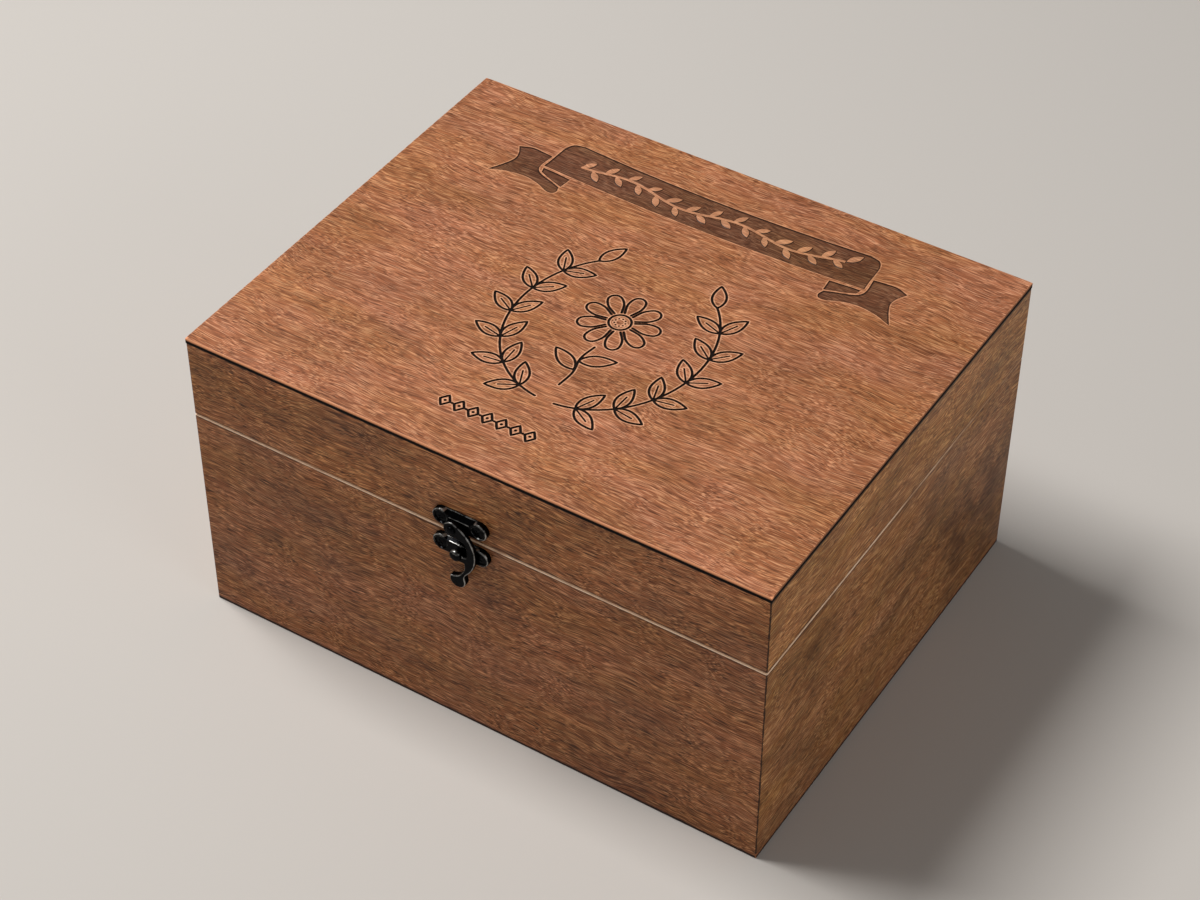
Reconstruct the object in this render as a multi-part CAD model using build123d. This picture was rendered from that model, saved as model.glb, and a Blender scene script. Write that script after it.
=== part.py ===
from build123d import *
import math
import os

# Keepsake box of stained wood with a hinged lid and a swing-hook clasp.
# Millimetres, +Z up, +X to the right seen from the front, and the clasp faces -Y.
# The origin is the middle of the underside, on the surface that the box stands on.
# Each piece is one STEP file, and a set of like screws shares one.

# Case, outside sizes
box_width = 300.0
box_depth = 238.0
box_height = 164.0
seam_height = 119.0

# Boards and panels
wall_thickness = 8.0
bottom_thickness = 3.0
top_thickness = 3.0
corner_radius = 0.8
seam_chamfer = 0.6
panel_chamfer = 0.3

# Clasp plates, measured from the seam line and from the front of the case
clasp_x = -2.0
plate_thickness = 2.8
plate_bevel = 0.5
ear_radius = 4.5
hook_plate_spacing = 19.4
hook_plate_rise = 8.9
hook_plate_dip = 2.8
catch_plate_spacing = 20.2
catch_plate_drop = 6.7
catch_plate_waist = 1.5
boss_height = 0.4

# Swing hook and the rivet that it turns on
pivot_offset = -2.6
pivot_rise = 6.3
tab_radius = 4.8
rivet_radius = 1.5
rivet_head_radius = 2.7
rivet_head_height = 1.3
hook_bore_clearance = 0.05
hook_gap = 0.2
hook_thickness = 2.0
hook_head_radius = 4.2
hook_bevel = 0.25
bow_radius = 17.0
bow_angle = 247.5
bow_width = 4.5
bay_corner = 4.0
lip_thickness = 2.3
lip_reach = 3.4
stop_radius = 0.7
stop_angle = -25.0
neck_round = 2.5
scoop_radius = 8.2
scoop_offset = 4.6
scoop_rise = 9.8
tail_offset = 0.1
tail_drop = 15.7
tail_radius = 4.1
tail_extra = 0.5

# Catch post that the hook closes under
post_radius = 1.5
post_clearance = 0.3
post_head_radius = 3.0
post_head_height = 2.2

# Hinges on the back
hinge_inset = 60.0
hinge_length = 32.0
leaf_height = 13.0
leaf_thickness = 1.0
leaf_corner = 2.0
knuckle_radius = 1.8
axis_standoff = 2.0
pin_radius = 0.8
pin_clearance = 0.05
pin_head_radius = 1.3
pin_head_height = 0.7
knuckle_gap = 0.25
leaf_screw_spacing = 20.0
leaf_screw_height = 8.0

# Wood screws, one size for the clasp and one for the hinges
clasp_screw_radius = 1.2
clasp_screw_head = 2.5
clasp_screw_dome = 0.2
hinge_screw_radius = 1.1
hinge_screw_head = 2.0
hinge_screw_dome = 0.1
screw_depth = 6.0
screw_clearance = 0.02
hole_clearance = 0.2
screw_point = 0.2
screw_rim = 0.1
screw_sides = 12

# Places worked out from the sizes above
front_y = -box_depth / 2
back_y = box_depth / 2
top_underside = box_height - top_thickness
hook_back = plate_thickness + boss_height + hook_gap
hook_front = hook_back + hook_thickness
clasp_plane = Plane(origin=(clasp_x, front_y, seam_height), x_dir=(1, 0, 0), z_dir=(0, -1, 0))
pivot = (pivot_offset, pivot_rise)
post = (0.0, -catch_plate_drop)
post_distance = math.dist(pivot, post)
hinge_centres = {"left": -(box_width / 2 - hinge_inset), "right": box_width / 2 - hinge_inset}


def proud(outline, start, height):
    """A flat outline drawn on the front of the case, from one stand-off, with one thickness."""
    return extrude(clasp_plane.offset(start) * outline, height)


def bevelled(piece, width):
    """A clasp piece with the edges of its front face bevelled."""
    front = piece.faces().filter_by(Axis.Y).sort_by(Axis.Y)[0]
    return chamfer(front.edges(), width)


def at(point):
    """A place on the clasp's drawing plane."""
    return Pos(point[0], point[1])


# Walls
def ring(low, high, seam_is_top):
    """Four walls in one band, with their raw seam edges broken by a small chamfer."""
    outside = RectangleRounded(box_width, box_depth, corner_radius)
    inside = Rectangle(box_width - 2 * wall_thickness, box_depth - 2 * wall_thickness)
    band = Pos(0, 0, low) * extrude(outside - inside, high - low)
    seam_face = band.faces().sort_by(Axis.Z)[-1 if seam_is_top else 0]
    return chamfer(seam_face.edges(), seam_chamfer)


def mitred_sector(side):
    """The space of one board, between the two 45 degree mitres at its ends."""
    margin = wall_thickness
    outer_x, outer_y = box_width / 2 + margin, box_depth / 2 + margin
    inner_x, inner_y = box_width / 2 - 2 * margin, box_depth / 2 - 2 * margin
    corners = {
        "front": [(-outer_x, -outer_y), (outer_x, -outer_y), (inner_x, -inner_y), (-inner_x, -inner_y)],
        "back": [(outer_x, outer_y), (-outer_x, outer_y), (-inner_x, inner_y), (inner_x, inner_y)],
        "left": [(-outer_x, outer_y), (-outer_x, -outer_y), (-inner_x, -inner_y), (-inner_x, inner_y)],
        "right": [(outer_x, -outer_y), (outer_x, outer_y), (inner_x, inner_y), (inner_x, -inner_y)],
    }
    return extrude(make_face(Polyline(*corners[side], close=True)), box_height)


def boards(low, high, seam_is_top):
    """The four mitred boards of the case or of the lid, by side."""
    band = ring(low, high, seam_is_top)
    return {side: band & mitred_sector(side) for side in ("front", "back", "left", "right")}


def panel(low, thickness, chamfered_up):
    """A thin panel as large as the case, glued over the ends of the walls."""
    blank = Pos(0, 0, low) * extrude(RectangleRounded(box_width, box_depth, corner_radius), thickness)
    outer_face = blank.faces().sort_by(Axis.Z)[-1 if chamfered_up else 0]
    return chamfer(outer_face.edges(), panel_chamfer)


# Screws
def flat_sided(radius, low, high, bevel=0, bevel_at_top=False):
    """A bar along Z with flat sides, by its flat-to-centre radius, and a bevel at one end."""
    bar = Pos(0, 0, low) * extrude(RegularPolygon(radius, screw_sides, major_radius=False), high - low)
    if not bevel:
        return bar
    end = bar.faces().sort_by(Axis.Z)[-1 if bevel_at_top else 0]
    return chamfer(end.edges(), bevel)


def screw(shank, head, dome, through):
    """A raised countersunk wood screw along +Z, with its head's rim just under Z = 0."""
    cone = head - shank
    body = flat_sided(shank, -(through + screw_depth), 0, shank - screw_point)
    body += flat_sided(head, -(cone + screw_rim), 0, cone)
    return body + flat_sided(head, -screw_rim, dome, dome, True)


def screw_seat(shank, head, through):
    """The room that a screw needs: a countersink and a clear hole through what it holds."""
    hole = flat_sided(shank + hole_clearance, -through, 0)
    return hole + flat_sided(head + screw_clearance, -(head - shank + screw_rim), 1, head - shank)


def pilot_hole(shank):
    """The pilot hole in the wood under a screw, from the face of the board."""
    return flat_sided(shank + screw_clearance, -screw_depth, 0)


def ear_points(spacing, height):
    """The two screw places of a clasp plate."""
    return [(-spacing / 2, height), (spacing / 2, height)]


def clasp_seats(points, standoff, tool):
    """Copies of a tool at points of the clasp, at one stand-off, as separate solids."""
    return [clasp_plane.offset(standoff) * at(p) * tool for p in points]


hook_plate_ears = ear_points(hook_plate_spacing, hook_plate_rise)
catch_plate_ears = ear_points(catch_plate_spacing, -catch_plate_drop)
clasp_screw = screw(clasp_screw_radius, clasp_screw_head, clasp_screw_dome, plate_thickness)
clasp_screw_seat = screw_seat(clasp_screw_radius, clasp_screw_head, plate_thickness)


# Clasp plates
def scallop(ears, depth):
    """A sloping dip in a plate's top edge between its two ears, deepest at the front."""
    top = ears[0][1] + ear_radius
    slope = Plane(origin=clasp_plane.origin, x_dir=(0, -1, 0), z_dir=(-1, 0, 0))
    wedge = Polyline(
        (0, top),
        (plate_thickness, top - depth),
        (plate_thickness + 1, top - depth),
        (plate_thickness + 1, top + 1),
        (0, top + 1),
        close=True,
    )
    between_ears = ears[1][0] - ears[0][0]
    cut = extrude(slope * make_face(wedge), between_ears / 2, both=True)
    rounds = Sketch() + [at(p) * Circle(ear_radius) for p in ears]
    return cut - proud(rounds, 0, plate_thickness + 1)


def eared_plate(ears, extra):
    """A cast plate with a round ear at each end, and more outline where a mechanism needs it."""
    bar = at((0, ears[0][1])) * SlotCenterToCenter(ears[1][0] - ears[0][0], 2 * ear_radius)
    plate = bevelled(proud(bar + extra, 0, plate_thickness), plate_bevel)
    for seat in clasp_seats(ears, plate_thickness, clasp_screw_seat):
        plate -= seat
    return plate


def hook_plate():
    """The plate on the lid, with a tab for the hook's rivet."""
    plate = eared_plate(hook_plate_ears, at(pivot) * Circle(tab_radius))
    plate -= scallop(hook_plate_ears, hook_plate_dip)
    plate += proud(at(pivot) * Circle(rivet_head_radius), 0, plate_thickness + boss_height)
    return plate - proud(at(pivot) * Circle(rivet_radius + screw_clearance), 0, hook_back)


def catch_plate():
    """The plate on the case, with a low boss round the post."""
    plate = eared_plate(catch_plate_ears, Sketch())
    plate -= scallop(catch_plate_ears, catch_plate_waist)
    plate += proud(at(post) * Circle(post_head_radius), 0, plate_thickness + boss_height)
    return plate - proud(at(post) * Circle(post_radius + screw_clearance), 0, hook_back)


def headed_pin(radius, head_radius, head_height, head_start):
    """A plain pin with a rounded head, along +Z from Z = 0."""
    middle = head_start + head_height / 2
    pin = Pos(0, 0, middle / 2) * Cylinder(radius, middle)
    head = Pos(0, 0, middle) * Cylinder(head_radius, head_height)
    return pin + chamfer(head.edges().sort_by(Axis.Z)[-1], head_height / 2)


# Swing hook
def on_circle(centre, radius, angle):
    """The point of a circle at an angle in degrees from the right."""
    turn = math.radians(angle)
    return (centre[0] + radius * math.cos(turn), centre[1] + radius * math.sin(turn))


def slab(left, right, low, high):
    """A flat rectangle by its edges."""
    return Pos((left + right) / 2, (low + high) / 2) * Rectangle(right - left, high - low)


def soften(outline, point, radius):
    """An outline with the corner nearest to a point made round."""
    corner = outline.vertices().sort_by_distance((point[0], point[1], 0))[0]
    return fillet(corner, radius)


def hook_face():
    """The bowed hook: a head round the rivet, a bow, a lip under the post and a curled tail."""
    far = bow_radius * 2
    bow_centre = on_circle(pivot, bow_radius - hook_head_radius, bow_angle)
    lip_radius = post_distance + post_radius + post_clearance
    lip_under = post[1] - post_radius - post_clearance - lip_thickness
    head_under = pivot[1] - hook_head_radius
    head_join = on_circle(pivot, hook_head_radius, bow_angle - 180)
    wall = bow_centre[0] + bow_radius - bow_width
    tail = (tail_offset, post[1] - tail_drop)
    scoop_centre = (tail[0] - scoop_offset, tail[1] + scoop_rise)

    bow = slab(head_join[0], far, head_under, far) + slab(pivot[0], far, head_under, pivot[1])
    bow += slab(-lip_reach, far, -far, head_under)
    bow = bow & at(bow_centre) * Circle(bow_radius)
    bay = slab(-far, wall, -far, head_under)
    bay = soften(bay, (wall, head_under), bay_corner) & at(pivot) * Circle(lip_radius)
    scoop = slab(-far, far, -far, lip_under) & at(scoop_centre) * Circle(scoop_radius)
    stop = at(on_circle(post, post_radius + post_clearance + stop_radius, stop_angle)) * Circle(stop_radius)

    outline = bow - bay + stop + at(pivot) * Circle(hook_head_radius)
    outline = outline + at(tail) * Circle(tail_radius) - scoop
    outline = soften(outline, (tail[0] + tail_radius, tail[1] + tail_radius), neck_round)
    outline = soften(outline, (-lip_reach, lip_under), lip_thickness * 0.4)
    outline = soften(outline, (-lip_reach, lip_under + lip_thickness), lip_thickness * 0.4)
    return outline, tail


def swing_hook():
    """The hook as one casting, thicker at the tail that the finger pushes."""
    outline, tail = hook_face()
    knob = outline & at(tail) * Circle(tail_radius + tail_extra)
    hook = bevelled(proud(outline, hook_back, hook_thickness), hook_bevel)
    hook += bevelled(proud(knob, hook_back - tail_extra, hook_thickness + 2 * tail_extra), hook_bevel)
    return hook - proud(at(pivot) * Circle(rivet_radius + hook_bore_clearance), 0, hook_front + 1)


# Hinges
hinge_axis_y = back_y + axis_standoff
segment = (hinge_length - 2 * knuckle_gap) / 3


def barrel(centre, length, radius):
    """A round bar along the hinge's axis, at a place along X."""
    return Pos(centre, hinge_axis_y, seam_height) * Rot(0, 90, 0) * Cylinder(radius, length)


def leaf(up, own, other):
    """One hinge leaf: a flat plate on the back with the knuckles that it carries."""
    high = leaf_height if up else 0
    plate = Pos(0, back_y, seam_height + high - leaf_height / 2) * Rot(90, 0, 0) * Pos(
        0, 0, -leaf_thickness
    ) * extrude(Rectangle(hinge_length, leaf_height), leaf_thickness)
    far = plate.edges().filter_by(Axis.Y).group_by(Axis.Z)[-1 if up else 0]
    plate = fillet(far, leaf_corner)
    for centre in other:
        plate -= barrel(centre, segment + 2 * knuckle_gap, knuckle_radius + knuckle_gap)
    for centre in own:
        plate += barrel(centre, segment, knuckle_radius)
    return plate - barrel(0, 2 * hinge_length, pin_radius + pin_clearance)


def hinge_screw_places(up):
    """The screws of one leaf, each as a place on the back of the box facing out."""
    rise = leaf_screw_height if up else -leaf_screw_height
    return [
        Plane(origin=(x, back_y, seam_height + rise), x_dir=(-1, 0, 0), z_dir=(0, 1, 0))
        for x in (-leaf_screw_spacing / 2, leaf_screw_spacing / 2)
    ]


def hinge():
    """The pieces of one hinge, centred on X = 0."""
    ends = [-(segment + knuckle_gap), segment + knuckle_gap]
    pieces = {"case_leaf": leaf(False, ends, [0]), "lid_leaf": leaf(True, [0], ends)}
    for name, up in (("case", False), ("lid", True)):
        for place in hinge_screw_places(up):
            pieces[name + "_leaf"] -= place.offset(leaf_thickness) * hinge_screw_seat
        pieces[name + "_screws"] = Compound(
            [place.offset(leaf_thickness) * hinge_screw for place in hinge_screw_places(up)]
        )
    head_centre = (hinge_length + pin_head_height) / 2
    pieces["pin"] = barrel(0, hinge_length, pin_radius)
    for centre in (-head_centre, head_centre):
        pieces["pin"] += barrel(centre, pin_head_height, pin_head_radius)
    return pieces


hinge_screw = screw(hinge_screw_radius, hinge_screw_head, hinge_screw_dome, leaf_thickness)
hinge_screw_seat = screw_seat(hinge_screw_radius, hinge_screw_head, leaf_thickness)


# Assembly
def drilled(board, places, shank):
    """A board with a pilot hole at each place."""
    for place in places:
        board -= place * pilot_hole(shank)
    return board


def build():
    """Every piece in its place, by name."""
    case = boards(bottom_thickness, seam_height, True)
    lid = boards(seam_height, top_underside, False)
    pieces = {"case_" + side + "_wall": board for side, board in case.items()}
    pieces |= {"lid_" + side + "_wall": board for side, board in lid.items()}
    pieces["case_bottom_panel"] = panel(0, bottom_thickness, False)
    pieces["lid_top_panel"] = panel(top_underside, top_thickness, True)

    for name, ears, wall in (
        ("hook_plate", hook_plate_ears, "lid_front_wall"),
        ("catch_plate", catch_plate_ears, "case_front_wall"),
    ):
        places = [clasp_plane * at(p) for p in ears]
        pieces[wall] = drilled(pieces[wall], places, clasp_screw_radius)
        pieces[name + "_screws"] = Compound(clasp_seats(ears, plate_thickness, clasp_screw))
    pieces["hook_plate"] = hook_plate()
    pieces["catch_plate"] = catch_plate()
    pieces["swing_hook"] = swing_hook()
    rivet = headed_pin(rivet_radius, rivet_head_radius, rivet_head_height, hook_front + hook_gap)
    catch = headed_pin(post_radius, post_head_radius, post_head_height, hook_front + hook_gap)
    pieces["hook_rivet"] = clasp_plane * at(pivot) * rivet
    pieces["catch_post"] = clasp_plane * at(post) * catch

    parts = hinge()
    for side, centre in hinge_centres.items():
        for name, up in (("case", False), ("lid", True)):
            places = [Pos(centre, 0, 0) * place.location for place in hinge_screw_places(up)]
            wall = name + "_back_wall"
            pieces[wall] = drilled(pieces[wall], places, hinge_screw_radius)
        for name, piece in parts.items():
            pieces[side + "_hinge_" + name] = Pos(centre, 0, 0) * piece
    return pieces


os.makedirs("parts", exist_ok=True)
for node, solid in build().items():
    export_step(solid, "parts/" + node + ".step")
    print(node, round(solid.volume), "mm3")
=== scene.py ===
# %% [markdown]
# # A keepsake box with an engraved lid
# The box is thin boards and panels of birch plywood, stained brown, with a swing hook at
# the front and two small hinges at the back.
# The solids come packed, as a frame that never moves. This script dresses them: it gives
# them finishes, and it builds finer shapes where the eye comes close, which are the
# engraved lid and all the metal.
# First the frame is read, and its box is measured.

# %% Read the frame
import math
from functools import partial

import bpy
import numpy as np
from mathutils import Matrix, Vector
from mathutils.geometry import delaunay_2d_cdt


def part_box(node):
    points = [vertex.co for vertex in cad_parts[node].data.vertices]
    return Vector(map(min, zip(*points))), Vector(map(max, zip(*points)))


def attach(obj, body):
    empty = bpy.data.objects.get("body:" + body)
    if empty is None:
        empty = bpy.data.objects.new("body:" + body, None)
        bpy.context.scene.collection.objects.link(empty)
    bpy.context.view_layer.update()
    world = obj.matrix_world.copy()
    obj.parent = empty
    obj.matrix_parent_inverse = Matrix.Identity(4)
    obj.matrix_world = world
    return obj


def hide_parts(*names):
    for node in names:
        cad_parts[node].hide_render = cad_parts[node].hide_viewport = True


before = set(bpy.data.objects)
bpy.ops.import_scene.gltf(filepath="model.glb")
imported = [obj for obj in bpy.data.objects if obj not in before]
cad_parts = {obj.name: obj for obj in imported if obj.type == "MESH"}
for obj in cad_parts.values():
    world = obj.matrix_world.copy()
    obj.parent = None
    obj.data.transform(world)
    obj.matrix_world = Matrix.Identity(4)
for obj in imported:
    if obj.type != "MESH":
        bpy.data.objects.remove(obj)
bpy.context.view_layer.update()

# %% [markdown]
# ## Sizes
# A box maker thinks in millimetres and Blender in metres, so every size here is written in
# millimetres and turned into metres only where a mesh is made.
# The large sizes come from the frame, so that they follow it. The small ones are the
# sizes that the metal pieces are cast to.

# %% Sizes in millimetres
MM = 0.001
panel_box = np.array(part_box("lid_top_panel")) / MM
half_width, half_depth, top = panel_box[1]
panel_under = panel_box[0][2]
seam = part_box("case_front_wall")[1][2] / MM
print("box", 2 * half_width, "x", 2 * half_depth, "x", top, "mm, seam at", seam)

# %% [markdown]
# ## Camera
# The photograph was taken from the front right and from well above, with a long lens.
# A camera's matrix has its right, up and back directions as columns, so a view that was
# worked out from the box's corners can be written straight into it.

# %% Camera
LENS, SENSOR = 83.11, 36.0
VIEW_FROM = (0.5083, -0.8139, 0.9584)
VIEW_RIGHT = Vector((0.84377, 0.53671, 0.00208))
VIEW_UP = Vector((-0.36401, 0.56941, 0.73707))


def in_scene(name, data):
    """A new object in the scene, at the origin, that shows this data."""
    made = bpy.data.objects.new(name, data)
    bpy.context.scene.collection.objects.link(made)
    return made


camera = in_scene("camera", bpy.data.cameras.new("camera"))
camera.data.lens = LENS
camera.data.sensor_width = SENSOR
facing = Matrix((VIEW_RIGHT, VIEW_UP, VIEW_RIGHT.cross(VIEW_UP))).transposed()
camera.matrix_world = Matrix.Translation(VIEW_FROM) @ facing.to_4x4()
bpy.context.scene.camera = camera
bpy.context.scene.view_settings.view_transform = "Standard"
print("camera", LENS, "mm lens at", VIEW_FROM)

# %% [markdown]
# ## A helper for nodes
# Materials and Geometry Nodes are both trees of nodes. One helper adds a node, gives it
# its settings, and fills each input with a value or with a link from another node, so
# that a tree reads from its first node to its last. An input that takes several links,
# as the one that joins meshes does, is given a list.


# %% Node helper
def feed(socket, source):
    """Fills an input with a value, or links it to a socket or to a node's first output."""
    if isinstance(source, bpy.types.Node):
        source = next(o for o in source.outputs if o.enabled)
    if isinstance(source, bpy.types.NodeSocket):
        socket.id_data.links.new(source, socket)
    else:
        socket.default_value = source


def node(tree, kind, inputs=None, stops=(), **settings):
    """Adds a node. An input is a value, a socket, a node or a list, and a ramp has colour stops."""
    made = tree.nodes.new(kind)
    for key, value in settings.items():
        setattr(made, key, value)
    for _ in stops[2:]:
        made.color_ramp.elements.new(0.5)
    for i, (position, colour) in enumerate(stops):
        made.color_ramp.elements[i].position = position
        made.color_ramp.elements[i].color = colour
    for key, source in (inputs or {}).items():
        for one in source if isinstance(source, list) else [source]:
            feed(made.inputs[key], one)
    return made


print("nodes are added by", node.__name__, "and their inputs filled by", feed.__name__)

# %% [markdown]
# ## Colours and materials
# Colours are easiest to pick as hex values, which are sRGB, while Blender's sockets want
# linear light, so one function turns one into the other. A finish is then a base colour
# with others over it, as stain, burns and dirt lie over wood: every Mix node lays one
# more colour over the last, and its factor is that colour's share.


# %% Colours and materials
def linear(hex_colour):
    """An sRGB hex colour as linear red, green, blue and an alpha of 1."""
    channels = [int(hex_colour[i : i + 2], 16) / 255 for i in (1, 3, 5)]
    return tuple(c / 12.92 if c <= 0.04045 else ((c + 0.055) / 1.055) ** 2.4 for c in channels) + (1.0,)


def grey(level):
    """A grey that carries a number: how much is let through or mixed in."""
    return (level, level, level, 1.0)


def new_material(name):
    """An empty material, a function that adds nodes to it, and its Principled shader."""
    material = bpy.data.materials.new(name)
    material.use_nodes = True
    tree = material.node_tree
    return material, partial(node, tree), tree.nodes["Principled BSDF"]


def finish_with(shader, **sources):
    """Fills the shader's inputs of these names, with underscores for their spaces."""
    for name, source in sources.items():
        feed(shader.inputs[name.replace("_", " ")], source)


def place_on_box(add):
    """Where a point lies on the box, in millimetres."""
    return add("ShaderNodeVectorMath", {
        0: add("ShaderNodeTexCoord").outputs["Object"], "Scale": 1 / MM}, operation="SCALE")


print("mid brown of the stain in linear light:", [round(c, 3) for c in linear("#9E6340")[:3]])

# %% [markdown]
# ## Stained birch plywood
# The boards are rotary-cut birch plywood, wiped with a red-brown stain and sealed with a
# satin coat. The stain soaks into open grain and leaves short dark dashes, the hard late
# wood stays lighter as short pale flecks, and both lie in slow waves along the grain.
# Noise that is stretched along the grain gives all of these: each mark has the length
# and the width of the real one in millimetres, as wide as a pixel where a real pore
# would be too fine to see.

# %% Marks of the birch, in millimetres
# Each has its length, its width, a shift that keeps it apart from the others, and its detail.
MARKS = {
    "streaks": (60.0, 1.5, 0.0, 3.0),
    "pores": (10.0, 0.38, 3.0, 0.4),
    "flecks": (9.0, 0.38, 11.0, 0.4),
    "clusters": (36.0, 5.0, 17.0, 1.0),
    "ripples": (28.0, 3.6, 31.0, 1.0),
    "clouds": (58.0, 24.0, 23.0, 4.0),
    "warmth": (58.0, 24.0, 47.0, 2.0),
}
WAVES = ((45.0, 9.0), (14.0, 1.0))
RIPPLES = 76.0
print(len(MARKS), "kinds of marks, the pores", MARKS["pores"][1], "mm wide")

# %% [markdown]
# ## The recipe of the stain
# Grain runs along X on the long boards and on the lid, and along Y on the short boards,
# so a Mapping node turns it there, and slow noise bends it into waves. Pores and flecks
# gather in clusters. The colours are laid over each other in the order in which they
# lie on the wood, so the recipe reads as a list. The satin coat lets a soft, weak shine
# through, so the roughness is middling and the specular level low.


# %% Stained birch
def stained_birch(name, along_y=False, tint="#FFFFFF", patchy=0.8, crisp=1.0):
    """A board's finish, with its place in millimetres and its colour, to build on."""
    material, add, shader = new_material(name)
    place = place_on_box(add)
    turn = (0, 0, -math.pi / 2) if along_y else (0, 0, 0)
    along = add("ShaderNodeMapping", {"Vector": place, "Rotation": turn})
    for wave, shift in WAVES:
        drift = add("ShaderNodeTexNoise", {"Vector": place, "Scale": 1 / wave, "Detail": 1.0})
        along = add("ShaderNodeVectorMath", {
            0: drift.outputs["Color"], 1: (0, shift, shift), 2: along}, operation="MULTIPLY_ADD")
    marks = {}
    for kind, (length, width, shift, detail) in MARKS.items():
        stretched = add("ShaderNodeMapping", {
            "Vector": along, "Location": (shift, shift, shift),
            "Scale": (1 / length, 1 / width, 1 / width)})
        marks[kind] = add("ShaderNodeTexNoise", {"Vector": stretched, "Scale": 1.0, "Detail": detail})

    shares = []
    for kind, pull, low, high, strength in (
            ("pores", -0.20, 0.42, 0.56, 0.66), ("flecks", 0.20, 0.63, 0.76, 0.86)):
        gathered = add("ShaderNodeMath", {0: marks["clusters"], 1: pull, 2: marks[kind]},
                       operation="MULTIPLY_ADD")
        shares.append(add("ShaderNodeMapRange", {
            "Value": gathered, "From Min": low, "From Max": high, "To Max": min(1.0, strength * crisp)}))
    phase = add("ShaderNodeMath", {0: marks["ripples"], 1: RIPPLES}, operation="MULTIPLY")
    speck_tone = add("ShaderNodeMapRange", {
        "Value": add("ShaderNodeMath", {0: phase}, operation="SINE"), "From Min": -1.0,
        "To Min": 1.0 - 0.20 * crisp, "To Max": 1.0 + 0.20 * crisp})
    cloud_tone = add("ShaderNodeValToRGB", {"Fac": marks["clouds"]}, [
        (0.32, grey(1.0 - 0.26 * patchy)), (0.50, grey(1.0)), (0.68, grey(1.0 + 0.14 * patchy))])
    warm_tone = add("ShaderNodeValToRGB", {"Fac": marks["warmth"]}, [
        (0.35, linear("#F4F1DC")), (0.65, linear("#FFFBFF"))])
    base = add("ShaderNodeValToRGB", {"Fac": marks["streaks"]}, [
        (0.32, linear("#9C6140")), (0.50, linear("#A96C49")), (0.68, linear("#B87A56"))])
    for blend, share, colour in (
            ("MIX", shares[0], linear("#54301C")), ("MIX", shares[1], linear("#DDA37C")),
            ("MULTIPLY", 1.0, speck_tone), ("MULTIPLY", 1.0, cloud_tone),
            ("MULTIPLY", 1.0, warm_tone), ("MULTIPLY", 1.0, linear(tint))):
        base = add("ShaderNodeMix", {"Factor": share, "A": base, "B": colour},
                   data_type="RGBA", blend_type=blend)

    grain = add("ShaderNodeMath", {0: marks["flecks"], 1: marks["pores"]}, operation="SUBTRACT")
    bump = add("ShaderNodeBump", {"Strength": 0.30, "Distance": 0.15 * MM, "Height": grain})
    satin = add("ShaderNodeMapRange", {
        "Value": marks["clouds"], "From Min": 0.3, "From Max": 0.7, "To Min": 0.48, "To Max": 0.60})
    finish_with(shader, Base_Color=base, Roughness=satin, Normal=bump, Specular_IOR_Level=0.22)
    return material, add, shader, place, base


print("stained birch is ready to build on")

# %% [markdown]
# ## Knots, stain marks and painted shade
# A few knots and darker patches lie at places chosen on the front and on the right side.
# Each is a soft oval, given by its middle and half its size in millimetres and by how
# dark it gets. The two widest ovals on the right side, towards its back, are painted
# shade that darkens its rear half. Across the board its size is far more than the
# board's thickness, so it lies right through it. The panel also shades what is under it,
# more on the short boards, which lie away from the light.

# %% Knots, stain marks and painted shade, as middle, half size and strength
knots_stains_and_shade = {
    "long": [((-113.8, -119, 62.4), (11, 30, 5), 0.50), ((-75.5, -119, 90.0), (5, 30, 9), 0.40),
             ((62.0, -119, 40.0), (26, 30, 7), 0.30), ((-20.0, -119, 26.0), (30, 30, 6), 0.25)],
    # On the short boards the ovals at y 60 and y 100 are painted shade at the rear of the right side.
    "short": [((150, -75.0, 97.0), (30, 24, 13), 0.55), ((150, 60.0, 60.0), (30, 40, 44), 0.50),
              ((150, -14.0, 52.0), (30, 38, 10), 0.28), ((150, 100.0, 50.0), (30, 50, 66), 0.74)],
}
shadow_of_panel = {"long": 0.1, "short": 0.7}
print({kind: len(marks) for kind, marks in knots_stains_and_shade.items()}, "knots and stain marks")

# %% [markdown]
# ## What each board shows at its edges
# The stain stops where the box was sawn open, so a pale raw line runs round the seam, and
# the sawn faces show the plies of the board. The mitred corners hold a thin dark line of
# glue and stain, and a shadow lies under the lid's panel.
# All of this depends only on where a point is, so the shader reads the place and mixes
# the colours there. First come the distances and the colour of the seam.

# %% Distances and the colour of the seam
PLY = 1.6


def inward_distances(add, x, y):
    """How far a point lies in from the nearest long side and from the nearest short end."""
    inward = []
    for coordinate, half in ((x, half_width), (y, half_depth)):
        outward = add("ShaderNodeMath", {0: coordinate}, operation="ABSOLUTE")
        inward.append(add("ShaderNodeMath", {0: half, 1: outward}, operation="SUBTRACT"))
    return inward


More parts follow.
